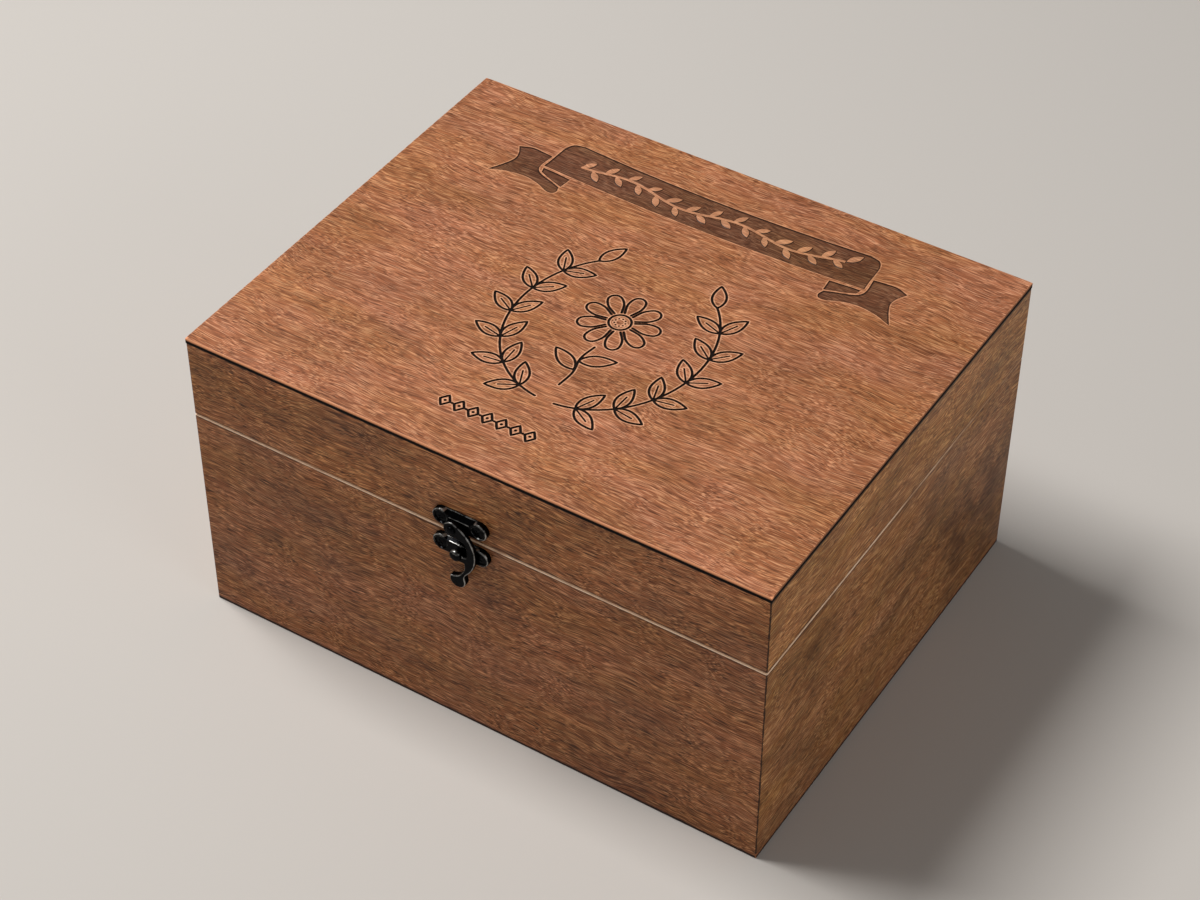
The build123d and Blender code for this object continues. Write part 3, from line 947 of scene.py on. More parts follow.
# Bands in order: the pale rim round the field, painted highlight and rubbed stain; the field's darker
# floor; the dark line inside its edge, burn and painted shade; the pale rim beside each cut, painted
# highlight and rubbed stain; the cut's burnt floor.
for depth, broken, stops in (
        (field_depth, True, [(-0.68, 0.0), (-0.45, 0.9), (-0.18, 0.8), (-0.06, 0.0)]),
        (field_depth, False, [(-0.02, 0.0), (0.12, 1.0)]),
        (field_depth, False, [(-0.08, 0.0), (0.08, 0.95), (0.42, 0.85), (0.85, 0.0)]),
        (cut_depth, True, [(-0.68, 0.0), (-0.40, 0.9), (-0.12, 0.9), (-0.02, 0.0)]),
        (cut_depth, False, [(-0.08, 0.0), (0.06, 1.0)])):
    share = add("ShaderNodeMapRange", {"Value": depth, "From Min": -1.0, "From Max": 1.0})
    share = add("ShaderNodeValToRGB", {"Fac": share}, [((mm + 1) / 2, grey(part)) for mm, part in stops])
    if broken:
        share = add("ShaderNodeMath", {0: share, 1: rim_share}, operation="MULTIPLY")
    bands.append(share)
lid_y = add("ShaderNodeSeparateXYZ", {"Vector": place_on_box(add)}).outputs["Y"]
# The arris is brightest along the front: painted highlight on top of its wear.
lit_front_edge = add("ShaderNodeMapRange", {
    "Value": lid_y, "From Min": 1 - half_depth, "From Max": 2 - half_depth,
    "To Min": 1.0, "To Max": 0.35})
wear_and_highlight = add("ShaderNodeMapRange", {"Value": wear_and_highlight_mark, "From Min": 0.50, "From Max": 0.85, "To Max": 1.0})
wear_and_highlight = add("ShaderNodeMath", {0: lit_front_edge, 1: wear_and_highlight}, operation="MULTIPLY")
for blend, share, colour in (
        ("MIX", bands[0], linear("#E2A47A")), ("MULTIPLY", bands[1], grey(0.43)),
        ("MIX", bands[2], linear("#2A160C")), ("MIX", bands[3], linear("#F0B48C")),
        ("MIX", bands[4], linear("#150A05")), ("MIX", wear_and_highlight, linear("#FFAE7E"))):
    base = add("ShaderNodeMix", {"Factor": share, "A": base, "B": colour},
               data_type="RGBA", blend_type=blend)
charred = add("ShaderNodeMath", {0: bands[4], 1: on_edge}, operation="MAXIMUM")
satin = shader.inputs["Roughness"].links[0].from_socket
matt = add("ShaderNodeMapRange", {"Value": charred, "To Min": satin, "To Max": 0.95})
finish_with(shader, Base_Color=base, Roughness=matt)
new_piece("engraved_lid_panel", lid_corners * MM, lid_faces, lid_wood, "lid", "lid_top_panel",
          "stained_wood", **lid_marks)

# %% [markdown]
# ## Black bronze finish
# The clasp and the hinges are zinc castings and steel strip with a black bronze finish
# under a thin clear lacquer: nearly black and glossy, with a cold shine on what faces
# the light, and brighter on the edges, partly rubbed and partly a painted highlight. The
# relief pieces carry a number that rises towards their edges, and the finish turns to
# paler metal there, broken up by noise so that the wear and the painted highlight come
# and go.

# %% Black bronze
TARNISH, GRIT = 2.38, 0.385


def black_bronze(name, wear_and_highlight_attribute=None):
    """A dark lacquered metal with edges rubbed and brightened as painted highlight, from a number on the
    mesh, or with even worn patches.
    """
    material, add, shader = new_material(name)
    place = place_on_box(add)
    patches = add("ShaderNodeTexNoise", {"Vector": place, "Scale": 1 / TARNISH, "Detail": 4.0})
    patches = patches.outputs["Fac"]
    grit = add("ShaderNodeTexNoise", {"Vector": place, "Scale": 1 / GRIT, "Detail": 2.0})
    dark = add("ShaderNodeValToRGB", {"Fac": patches}, [
        (0.35, linear("#050507")), (0.60, linear("#090A0D")), (0.75, linear("#141312"))])
    if wear_and_highlight_attribute:
        wear_and_highlight_mark = add("ShaderNodeAttribute", attribute_name=wear_and_highlight_attribute).outputs["Fac"]
        broken = add("ShaderNodeMath", {0: wear_and_highlight_mark, 1: patches}, operation="MULTIPLY")
        low, high, most = 0.27, 0.52, 0.85
    else:
        broken, low, high, most = patches, 0.66, 0.85, 0.25
    wear_and_highlight = add("ShaderNodeMapRange", {"Value": broken, "From Min": low, "From Max": high, "To Max": most})
    roughness = add("ShaderNodeMapRange", {
        "Value": patches, "From Min": 0.3, "From Max": 0.7, "To Min": 0.24, "To Max": 0.38})
    bump = add("ShaderNodeBump", {"Strength": 0.10, "Distance": 0.1 * MM, "Height": grit})
    # Paler metal where the number is high: wear and painted highlight; without a number, worn patches
    # only.
    dark_with_wear_and_highlight = add("ShaderNodeMix", {"Factor": wear_and_highlight, "A": dark, "B": linear("#A8A6A2")},
                      data_type="RGBA")
    finish_with(shader, Base_Color=dark_with_wear_and_highlight, Roughness=roughness, Normal=bump, Metallic=0.95,
                Specular_Tint=grey(0.5), Coat_Weight=0.07, Coat_Roughness=0.16)
    return material


cast_bronze = black_bronze("black_bronze_on_cast_zinc", "edge")
plain_bronze = black_bronze("black_bronze_on_steel")
print("made", cast_bronze.name, "and", plain_bronze.name)

# %% [markdown]
# ## Clasp plates
# Two cast plates with a round ear at each end. Between its ears the upper plate's top
# slopes down to the front, and its dip ends at the ears in small steps. Each ear has a
# round cup that its screw sits in. All this is a height over the plate's outline, drawn
# from the plates' own sizes and measured from the seam.

# %% Clasp sizes and outlines
PLATE, EAR, TAB, STEP = 2.8, 4.5, 4.8, 0.25
BOSS, CUP, CUP_DEPTH, CUP_SLOPE = 0.4, 3.05, 0.55, 0.25
clasp_origin = (-2.0, -half_depth, seam)
hook_ears = [(-9.7, 8.9), (9.7, 8.9)]
catch_ears = [(-10.1, -6.7), (10.1, -6.7)]
pivot, post = (-2.6, 6.3), (0.0, -6.7)


def angle_of(centre, point):
    """The direction from a centre to a point, in degrees."""
    return math.degrees(math.atan2(point[1] - centre[1], point[0] - centre[0]))


def plate_outline(ears, tab_centre=None):
    """A slot shape round two ears, with a round tab under it where the rivet is."""
    (left, y), (right, _) = ears
    parts = [[(left, y - EAR)]]
    if tab_centre:
        drop = y - EAR - tab_centre[1]
        reach = math.sqrt(TAB**2 - drop**2)
        start, stop = (math.degrees(math.atan2(drop, way * reach)) for way in (-1, 1))
        parts.append(arc(tab_centre, TAB, start - 360 if start > 0 else start, stop, STEP))
    parts += [arc((right, y), EAR, -90, 90, STEP), arc((left, y), EAR, 90, 270, STEP)[:-1]]
    return spaced(np.concatenate(parts), STEP, True)


def from_points(places, points):
    """How far each place lies from the nearest of a few points."""
    return np.min([np.hypot(places[:, 0] - u, places[:, 1] - v) for u, v in points], axis=0)


def on_clasp(corners):
    """Corners of the clasp's drawing as places on the front of the box."""
    return set_upright(corners, clasp_origin, (1, 0, 0), (0, 0, 1))


print("the tabbed plate's outline has", len(plate_outline(hook_ears, pivot)), "points")

# %% [markdown]
# ## The height of a plate
# The face is flat with a rounded edge. The dip, the cups and the boss under the hook or
# the post are cut into it or put on it, each as a limit on the height. Lines in the
# drawing lie where the surface bends: round the cups and the boss, along the foot of
# the dip, and beside the steps at the ears. The number for wear and painted highlight
# peaks on the rims and round the cups, and most of all along the foot of the dip, where
# a painted highlight line stands for the light on its edge.

# %% Plates
EDGE_ROUND, LOWEST = 0.7, 0.3


def bump_at(distance, width):
    """A number that is 1 at no distance and falls off smoothly over a width."""
    return np.exp(-((distance / width) ** 2))


def plate_piece(name, ears, dip, boss, boss_radius, tab_centre, body, replaced):
    """One cast plate with its dip, cups and boss."""
    outline = plate_outline(ears, tab_centre)
    ear_u, y = ears[1]

    def height(places):
        """The front face of the plate, from its outline, its dip, its cups and its boss."""
        face = PLATE - rounded_edge(distance_to(places, outline, True), EDGE_ROUND)
        from_ear = from_points(places, ears)
        between = (np.abs(places[:, 0]) < ear_u) & (places[:, 1] > y)
        slope = PLATE * (y + EAR - places[:, 1]) / dip
        blend = np.clip((from_ear - EAR + 0.1) / 0.25, 0, 1)
        dipped = np.minimum(face, np.maximum(slope, 0.25))
        face = np.where(between, face + (dipped - face) * blend, face)
        cup = np.clip((CUP + CUP_SLOPE - from_ear) / CUP_SLOPE, 0, 1)
        face = np.maximum(face - CUP_DEPTH * cup, LOWEST)
        into_boss = boss_radius - from_points(places, [boss])
        raised = PLATE + BOSS - rounded_edge(np.abs(into_boss), 0.2)
        return np.maximum(face, np.where(into_boss > 0, raised, 0))

    foot_of_dip, dip_end = y + EAR - dip, ear_u - EAR * 0.8
    loops = [circle(ear, r, STEP) for ear in ears for r in (CUP, CUP + CUP_SLOPE)]
    loops += [circle(boss, boss_radius + r, STEP) for r in (0.25, 0, -0.02)]
    lines = [spaced([(-dip_end, foot_of_dip + o), (dip_end, foot_of_dip + o)], STEP)
             for o in (-0.5, -0.22, 0, 0.22, 0.5)]
    for ear, start, stop in zip(ears, (0, 180), (84, 96)):
        lines += [arc(ear, EAR + r, start, stop, STEP) for r in (-0.1, 0.15)]
    points = [rings_inside(outline, (0.06, 0.16, 0.32, 0.5, 0.72, 1.1))]
    points += [circle(ear, r, STEP) for ear in ears for r in (2.2, 3.6, 3.9)]
    corners, faces, flat = relief(
        outline, height, level(0.0), loops=loops, lines=lines, points=np.concatenate(points))

    # Painted highlight along the foot of the dip; wear and painted highlight on the outline and round the
    # cups.
    from_lit_dip_foot = np.abs(flat[:, 1] - foot_of_dip) + 10 * (np.abs(flat[:, 0]) > ear_u - EAR)
    wear_and_highlight = np.max([
        1.1 * bump_at(distance_to(flat, outline, True) - 0.3, 0.35),
        1.5 * bump_at(from_lit_dip_foot, 0.2),
        0.6 * bump_at(from_points(flat, ears) - CUP - 0.3, 0.35)], axis=0)
    new_piece(name, on_clasp(corners), faces, cast_bronze, body, replaced, edge=for_all(corners, wear_and_highlight))


plate_piece("upper_clasp_plate", hook_ears, 2.8, pivot, 2.7, pivot, "lid", "hook_plate")
plate_piece("lower_clasp_plate", catch_ears, 1.5, post, 3.0, None, "case", "catch_plate")

# %% [markdown]
# ## The swing hook
# A small bowed casting. Its head turns on the rivet, its lip lies under the head of the
# post, and its tail is a thick round knob for the finger, scooped out on the inside.
# The outline is made of the same arcs as the solid's. The lip's upper edge is an arc
# about the rivet, so that it slides under the post. The height is rounded near the
# outline and swells towards the tail.

# %% Outline of the hook
HOOK_BACK, HOOK, BORE = 3.4, 2.0, 1.55
BOW, HEAD, TAIL, SCOOP, SHANK, PLAY = 17.0, 4.2, 4.1, 8.2, 1.5, 0.3
HEAD_ANGLE = 67.5
away = math.radians(HEAD_ANGLE + 180)
bow_centre = (pivot[0] + (BOW - HEAD) * math.cos(away), pivot[1] + (BOW - HEAD) * math.sin(away))
tail, scoop = (0.1, -22.4), (-4.5, -12.6)
neck, tail_side, tip = (4.31, -17.75), (3.80, -20.63), (-3.66, -20.76)
lip_arc = math.dist(pivot, post) + SHANK + PLAY
lip_low = post[1] - SHANK - PLAY - 2.3
inner = (3.5, lip_low)
lip_end = -3.4
shoulder = pivot[1] - HEAD


def on_lip(u):
    """The point of the lip's upper edge at this u."""
    return (u, pivot[1] - math.sqrt(lip_arc**2 - (u - pivot[0]) ** 2))


def lip(start_u, stop_u):
    """A stretch of the lip's upper edge."""
    return arc(pivot, lip_arc, angle_of(pivot, on_lip(start_u)), angle_of(pivot, on_lip(stop_u)), STEP)


bay = bow_centre[0] + BOW - 4.5
seat = on_lip(lip_end + 0.92)
hook_outline = chain(
    arc(pivot, HEAD, HEAD_ANGLE, 270, STEP),
    spaced([(pivot[0], shoulder), (1.0, shoulder)], STEP),
    arc((1.0, shoulder - 4), 4.0, 90, 0, STEP),
    spaced([(bay, shoulder - 4), on_lip(bay)], STEP)[1:],
    lip(bay, 2.96)[:-1],
    arc((2.27, -7.76), 0.7, 6, 212, 0.15),
    lip(1.68, lip_end + 0.92)[1:],
    arc((lip_end + 1.0, (seat[1] + lip_low) / 2), 1.0, 130, 230, STEP),
    spaced([(lip_end + 0.92, lip_low), inner], STEP),
    arc(scoop, SCOOP, angle_of(scoop, inner), angle_of(scoop, tip), STEP)[1:],
    arc(tail, TAIL, angle_of(tail, tip) - 360, angle_of(tail, tail_side), STEP)[1:],
    spaced([tail_side, (3.66, -19.2), neck], STEP)[1:-1],
    arc(bow_centre, BOW, angle_of(bow_centre, neck), HEAD_ANGLE, STEP),
)
print("hook outline:", len(hook_outline), "points")

# %% [markdown]
# ## The hook's two faces
# Front and back both move outwards near the tail, so the knob is thicker than the bow.
# The bore for the rivet is a hole in the drawing, which turns clockwise.


# %% Relief of the hook
def swell(places):
    """How much thicker the hook is on each side, from nothing at its bow to 0.5 mm at its tail."""
    t = np.clip((-16.2 - places[:, 1]) / 3.2, 0, 1)
    return 0.5 * t * t * (3 - 2 * t)


def hook_front(places):
    """The hook's front face, rounded towards its outline."""
    from_edge = distance_to(places, hook_outline, True)
    return HOOK_BACK + HOOK + swell(places) - rounded_edge(from_edge, 0.75)


def hook_back(places):
    """The hook's back face."""
    return HOOK_BACK - swell(places)


corners, faces, flat = relief(
    hook_outline, hook_front, hook_back, [circle(pivot, BORE, 0.2)[::-1]],
    points=rings_inside(hook_outline, (0.06, 0.15, 0.3, 0.5, 0.78, 1.2, 1.8)))
# Paler edges: wear and painted highlight.
wear_and_highlight = bump_at(distance_to(flat, hook_outline, True) - 0.25, 0.3)
new_piece("bowed_swing_hook", on_clasp(corners), faces, cast_bronze, "hook", "swing_hook",
          edge=for_all(corners, wear_and_highlight))

# %% [markdown]
# ## Rivet and post
# These are turned or peened from round wire, so each is a profile spun round an axis:
# a list of radii and heights, swept in small steps, with a single corner at each pole.
# The profile is closed with a dome. The upper side of the post's head is paler metal, a
# painted highlight on the side that faces the lamp.


# %% Turned pieces
def turned(profile, centre, axis, steps=40):
    """A profile of (radius, height), spun round an axis, as the corners and faces of a closed solid."""
    axis = Vector(axis).normalized()
    side = axis.orthogonal().normalized()
    other = axis.cross(side)
    places, rows, faces = [], {}, []
    for radius, height in profile:
        if (radius, height) in rows:
            continue
        count = 1 if radius < 1e-6 else steps
        rows[radius, height] = [len(places) + k % count for k in range(steps)]
        for k in range(count):
            a = 2 * math.pi * k / count
            outward = side * math.cos(a) + other * math.sin(a)
            places.append(Vector(centre) + axis * height + outward * radius)
    for low, high in zip(profile, profile[1:]):
        for k in range(steps):
            n = (k + 1) % steps
            corner = (rows[low][k], rows[low][n], rows[high][n], rows[high][k])
            faces.append(tuple(dict.fromkeys(corner)))
    return np.array([tuple(p) for p in places]) * MM, faces


def dome(radius, base, height, steps=7):
    """The profile of a dome, from its rim to its pole."""
    angles = np.linspace(0, math.pi / 2, steps)[:-1]
    return [(radius * math.cos(a), base + height * math.sin(a)) for a in angles] + [(0, base + height)]


def on_front(point):
    """A point of the clasp's drawing as a place in millimetres."""
    return (clasp_origin[0] + point[0], clasp_origin[1], clasp_origin[2] + point[1])


HEAD_BACK = HOOK_BACK + HOOK + 0.2
foot = [(0, 0.1), (SHANK, 0.1), (SHANK, HEAD_BACK)]
rivet_profile = foot + [(2.05, HEAD_BACK), (2.15, HEAD_BACK + 0.1)] + dome(2.15, HEAD_BACK + 0.25, 0.85)
post_profile = foot + [(2.7, HEAD_BACK), (2.95, HEAD_BACK + 0.15), (3.0, HEAD_BACK + 0.35)]
post_profile += dome(2.85, HEAD_BACK + 1.0, 1.2, 9)
rivet, rivet_faces = turned(rivet_profile, on_front(pivot), (0, -1, 0))
new_piece("domed_rivet", rivet, rivet_faces, plain_bronze, "lid", "hook_rivet")
stud, stud_faces = turned(post_profile, on_front(post), (0, -1, 0))
# Painted highlight: paler metal on the upper, front side of the post's head.
lit_upper_side = np.clip((stud[:, 2] / MM - seam - post[1]) / 2.0, 0, 1)
in_front = stud[:, 1] / MM < -half_depth - HEAD_BACK - 0.3
new_piece("domed_catch_post", stud, stud_faces, cast_bronze, "case", "catch_post",
          edge=0.78 * lit_upper_side * in_front)

# %% [markdown]
# ## Hinges
# Each hinge is two leaves of strip steel, rolled into knuckles round a pin. A leaf is
# drawn as an outline with notches where the other leaf's knuckles turn, and its screw
# holes are countersunk. The rolled knuckles are turned shapes along X, with broken edges.

# %% Hinge sizes and outline
HINGE, LEAF, LEAF_TALL, LEAF_ROUND, NOTCH = 32.0, 1.0, 13.0, 2.0, 2.1
KNUCKLE, PIN, AXIS_OUT, GAP, BROKEN = 1.8, 0.8, 2.0, 0.25, 0.2
SCREW_SPREAD, SCREW_RISE, SCREW_HOLE, SINK = 20.0, 8.0, 1.3, 2.05
third = (HINGE - 2 * GAP) / 3
ends = (-(third + GAP), third + GAP)


def leaf_outline(own):
    """A leaf from its notched top at v = 0 down to its rounded foot, for its own knuckles."""
    half, foot = HINGE / 2, LEAF_ROUND - LEAF_TALL
    at_ends, at_middle = (0.0, -NOTCH) if own == ends else (-NOTCH, 0.0)
    shoulder = third / 2 + (GAP if own == ends else 0.0)
    top_points = [(half, at_ends), (shoulder, at_ends), (shoulder, at_middle)]
    corners = top_points + [(-u, v) for u, v in top_points[::-1]]
    left_foot, right_foot = (arc((way * (half - LEAF_ROUND), foot), LEAF_ROUND, start, start + 90, 0.3)
                             for way, start in ((-1, 180), (1, 270)))
    return spaced(np.concatenate([corners, left_foot, right_foot]), 0.5, True)


def knuckle(middle, hinge_x):
    """A rolled knuckle along X, open for the pin, with its ends broken."""
    half, inner = third / 2, PIN + 0.05
    end = [(KNUCKLE, half - BROKEN), (KNUCKLE - BROKEN * 0.3, half - BROKEN * 0.3),
           (KNUCKLE - BROKEN, half), (inner, half)]
    profile = [(r, -x) for r, x in end[::-1]] + end + [(inner, -half)]
    return turned(profile, (hinge_x + middle, half_depth + AXIS_OUT, seam), (1, 0, 0), 36)


print("each knuckle is", third, "mm long")

# %% [markdown]
# ## Leaves and pins
# A leaf is the relief of its outline, joined with its knuckles into one mesh. The same
# drawing serves both leaves: seen from behind, the lower one hangs from the seam and the
# upper one is turned upside down. A pin's heads are peened into low domes.


# %% Leaves and pins
def hinge_leaf(name, hinge_x, way_up, own, body, replaced):
    """One leaf: its strip, with two countersunk holes, and its knuckles."""
    outline = leaf_outline(own)
    holes = [(x, -SCREW_RISE) for x in (-SCREW_SPREAD / 2, SCREW_SPREAD / 2)]

    def height(places):
        """The leaf's face, with rounded edges and a countersink at each hole."""
        face = LEAF - rounded_edge(distance_to(places, outline, True), 0.3)
        return np.minimum(face, LEAF - np.clip(SINK - from_points(places, holes), 0, 0.75))

    corners, faces, flat = relief(
        outline, height, level(0.0), [circle(h, SCREW_HOLE, 0.3)[::-1] for h in holes],
        [circle(h, SINK, 0.3) for h in holes], points=rings_inside(outline, (0.08, 0.18, 0.32, 0.8)))
    # Paler edges: wear, with the painted highlight of the clasp's finish.
    wear_and_highlight = bump_at(distance_to(flat, outline, True) - 0.15, 0.2)
    places = set_upright(corners, (hinge_x, half_depth, seam), (way_up, 0, 0), (0, 0, -way_up))
    for middle in own:
        more_places, more_faces = knuckle(middle, hinge_x)
        faces += [tuple(i + len(places) for i in f) for f in more_faces]
        places = np.concatenate([places, more_places])
    new_piece(name, places, faces, cast_bronze, body, replaced, edge=for_all(places, wear_and_highlight))


pin_end = dome(1.3, HINGE / 2 + 0.15, 0.55)[::-1] + [(1.3, HINGE / 2), (PIN, HINGE / 2)]
pin_profile = [(r, -z) for r, z in pin_end] + pin_end[::-1]
hinge_middles = {"left": -(half_width - 60), "right": half_width - 60}
for side, hinge_x in hinge_middles.items():
    hinge_leaf(side + "_lower_hinge_leaf", hinge_x, -1, ends, "case", side + "_hinge_case_leaf")
    hinge_leaf(side + "_upper_hinge_leaf", hinge_x, 1, (0,), "lid", side + "_hinge_lid_leaf")
    pin, pin_faces = turned(pin_profile, (hinge_x, half_depth + AXIS_OUT, seam), (-1, 0, 0), 28)
    new_piece(side + "_peened_hinge_pin", pin, pin_faces, plain_bronze, "case", side + "_hinge_pin")

# %% [markdown]
# ## Growing pieces with Geometry Nodes
# What repeats is made by a node tree: the screws and the leaves of a scroll. A tree gets
# its sizes as named inputs, in millimetres, and its points as a small mesh. Both trees
# end alike: Realize Instances turns the copies into real mesh, which is shrunk to metres
# and given its material. The result is read back as a plain mesh, and what carried the
# modifier is removed before the piece gets its body.


# %% Trees
def new_tree(name, sizes, **geometry):
    """A Geometry Nodes tree with named inputs, a function that adds nodes, and the inputs."""
    tree = bpy.data.node_groups.new(name, "GeometryNodeTree")
    for label, kind in geometry.items():
        tree.interface.new_socket(label, in_out="INPUT", socket_type="NodeSocket" + kind)
    for label, value in sizes.items():
        kind = {float: "Float", int: "Int", tuple: "Vector"}[type(value)]
        made = tree.interface.new_socket(label, in_out="INPUT", socket_type="NodeSocket" + kind)
        made.default_value = value
    tree.interface.new_socket("Result", in_out="OUTPUT", socket_type="NodeSocketGeometry")
    add = partial(node, tree)
    return tree, add, add("NodeGroupInput").outputs


def end_tree(add, copies, others, finish):
    """Real mesh from the copies, with other pieces beside them, in metres and with its material."""
    real = add("GeometryNodeRealizeInstances", {"Geometry": copies})
    whole = add("GeometryNodeJoinGeometry", {"Geometry": [real, *others]})
    in_metres = add("GeometryNodeTransform", {"Geometry": whole, "Scale": (MM, MM, MM)})
    finished_mesh = add("GeometryNodeSetMaterial", {"Geometry": in_metres, "Material": finish})
    add("NodeGroupOutput", {"Result": finished_mesh})


def run_tree(tree, name, points, edges, values, body, replaced=None):
    """Runs a tree on a small mesh in millimetres and keeps the result as a plain mesh."""
    seeds = bpy.data.meshes.new(name + "_points")
    seeds.from_pydata([tuple(p) for p in points], edges, [])
    holder = in_scene(name + "_points", seeds)
    modifier = holder.modifiers.new(name, "NODES")
    modifier.node_group = tree
    for item in tree.interface.items_tree:
        if item.in_out == "INPUT" and item.name in values:
            modifier[item.identifier] = values[item.name]
    grown = holder.evaluated_get(bpy.context.evaluated_depsgraph_get())
    mesh = bpy.data.meshes.new_from_object(grown)
    bpy.data.objects.remove(holder)
    finished(name, mesh, body, replaced, GROWN_SHARP)


GROWN_SHARP = 35
print("trees are ready to grow")

# %% [markdown]
# ## The head of a screw
# Twelve wood screws of two sizes hold the metal on. Their tree starts with the head: a
# thin disc whose upper side is raised to a shallow dome, with a cross cut into it for
# the driver.

# %% Screw head
screw_tree, add, given = new_tree("wood_screws", {
    "Head Radius": 2.4, "Head Dome": 0.35, "Shank Radius": 1.2, "Shank Length": 7.0,
    "Cross Width": 0.55, "Cross Depth": 0.5, "Outward": (0.0, -1.0, 0.0), "Seed": 0},
    Points="Geometry", Finish="Material")
HEAD_SIDES = 28
disc = add("GeometryNodeMeshCylinder", {
    "Vertices": HEAD_SIDES, "Side Segments": 1, "Fill Segments": 5, "Radius": given["Head Radius"],
    "Depth": 0.1}, fill_type="TRIANGLE_FAN")
x, y, z = add("ShaderNodeSeparateXYZ", {0: add("GeometryNodeInputPosition")}).outputs
flat = add("ShaderNodeCombineXYZ", {"X": x, "Y": y})
reach = add("ShaderNodeVectorMath", {0: flat}, operation="LENGTH").outputs["Value"]
share = add("ShaderNodeMath", {0: reach, 1: given["Head Radius"]}, operation="DIVIDE")
share = add("ShaderNodeMath", {0: share, 1: 2.0}, operation="POWER")
left = add("ShaderNodeMath", {0: 1.0, 1: share}, operation="SUBTRACT")
rise = add("ShaderNodeMath", {0: left, 1: given["Head Dome"]}, operation="MULTIPLY")
crowned = add("GeometryNodeSetPosition", {
    "Geometry": disc.outputs["Mesh"], "Offset": add("ShaderNodeCombineXYZ", {"Z": rise}),
    "Selection": add("ShaderNodeMath", {0: z, 1: 0.0}, operation="GREATER_THAN")})
arm_length = add("ShaderNodeMath", {0: given["Head Radius"], 1: 1.3}, operation="MULTIPLY")
arm_depth = add("ShaderNodeMath", {0: given["Cross Depth"], 1: 2.0}, operation="MULTIPLY")
arm = add("GeometryNodeMeshCube", {"Size": add("ShaderNodeCombineXYZ", {
    "X": arm_length, "Y": given["Cross Width"], "Z": arm_depth})})
crown_top = add("ShaderNodeCombineXYZ", {"Z": given["Head Dome"]})
arms = [add("GeometryNodeTransform", {
    "Geometry": arm.outputs["Mesh"], "Rotation": (0, 0, angle), "Translation": crown_top})
    for angle in (0.0, math.pi / 2)]
cross = add("GeometryNodeJoinGeometry", {"Geometry": arms})
head = add("GeometryNodeMeshBoolean", {"Mesh 1": crowned, "Mesh 2": cross, "Self Intersection": True},
           operation="DIFFERENCE", solver="EXACT")
print("screw head:", len(screw_tree.nodes), "nodes")

# %% [markdown]
# ## Cone, shank and copies
# Under the head come the countersunk cone and the tapered shank, and each starts where
# the one above it ends. A copy of the whole screw then goes on each point, turned by a
# random angle as real screws are.

# %% Screw tree
SHANK_SIDES, TIP_SHARE, OVERLAP = 16, 0.35, 0.04
cone_height = add("ShaderNodeMath", {0: given["Head Radius"], 1: given["Shank Radius"]},
                  operation="SUBTRACT")
tip_radius = add("ShaderNodeMath", {0: given["Shank Radius"], 1: TIP_SHARE}, operation="MULTIPLY")
parts, foot = [head], -OVERLAP
for sides, wide, narrow, depth in (
        (HEAD_SIDES, given["Head Radius"], given["Shank Radius"], cone_height),
        (SHANK_SIDES, given["Shank Radius"], tip_radius, given["Shank Length"])):
    cone = add("GeometryNodeMeshCone", {
        "Vertices": sides, "Radius Top": wide, "Radius Bottom": narrow, "Depth": depth})
    foot = add("ShaderNodeMath", {0: foot, 1: depth}, operation="SUBTRACT")
    parts.append(add("GeometryNodeTransform", {
        "Geometry": cone.outputs["Mesh"], "Translation": add("ShaderNodeCombineXYZ", {"Z": foot})}))
facing = add("FunctionNodeAlignRotationToVector", {"Vector": given["Outward"]}, axis="Z")
angle = add("FunctionNodeRandomValue", {"Min": 0.0, "Max": math.pi, "Seed": given["Seed"]},
            data_type="FLOAT")
spin = add("FunctionNodeAxisAngleToRotation", {"Axis": (0, 0, 1), "Angle": angle})
turned_screw = add("FunctionNodeRotateRotation", {"Rotation": facing, "Rotate By": spin},
                   rotation_space="LOCAL")
one_screw = add("GeometryNodeJoinGeometry", {"Geometry": parts})
screws = add("GeometryNodeInstanceOnPoints", {
    "Points": given["Points"], "Instance": one_screw, "Rotation": turned_screw})
end_tree(add, screws, (), given["Finish"])
print("screw tree:", len(screw_tree.nodes), "nodes")

# %% [markdown]
# ## The sets of screws
# A screw's point lies where the underside of its head touches: in the cups of the clasp's
# ears, and in the countersinks of the hinge leaves. Each pair of screws is one piece,
# because it takes the place of one solid.

# %% Sets of screws
clasp_screw = {
    "Head Radius": 2.45, "Head Dome": 0.45, "Shank Radius": 1.2, "Shank Length": 6.2, "Cross Width": 0.6,
    "Cross Depth": 0.42, "Outward": (0.0, -1.0, 0.0), "Finish": plain_bronze}
hinge_screw = {
    "Head Radius": 1.98, "Head Dome": 0.14, "Shank Radius": 1.1, "Shank Length": 5.2, "Cross Width": 0.5,
    "Cross Depth": 0.38, "Outward": (0.0, 1.0, 0.0), "Finish": plain_bronze}
SUNK = 0.05
in_cup = clasp_origin[1] - (PLATE - CUP_DEPTH + SUNK)
for name, ears, seed, body, replaced in (
        ("upper_plate_screws", hook_ears, 3, "lid", "hook_plate_screws"),
        ("lower_plate_screws", catch_ears, 8, "case", "catch_plate_screws")):
    points = [(clasp_origin[0] + u, in_cup, clasp_origin[2] + v) for u, v in ears]
    run_tree(screw_tree, name, points, [], dict(clasp_screw, Seed=seed), body, replaced)
in_leaf = half_depth + LEAF - SUNK
for side, hinge_x in hinge_middles.items():
    for where, rise, body, replaced in (
            ("lower", -SCREW_RISE, "case", "_hinge_case_screws"),
            ("upper", SCREW_RISE, "lid", "_hinge_lid_screws")):
        points = [(hinge_x + x, in_leaf, seam + rise) for x in (-SCREW_SPREAD / 2, SCREW_SPREAD / 2)]
        seed = 20 + len(side) + len(where) + int(rise)
        run_tree(screw_tree, f"{side}_{where}_hinge_screws", points, [], dict(hinge_screw, Seed=seed),
                 body, side + replaced)

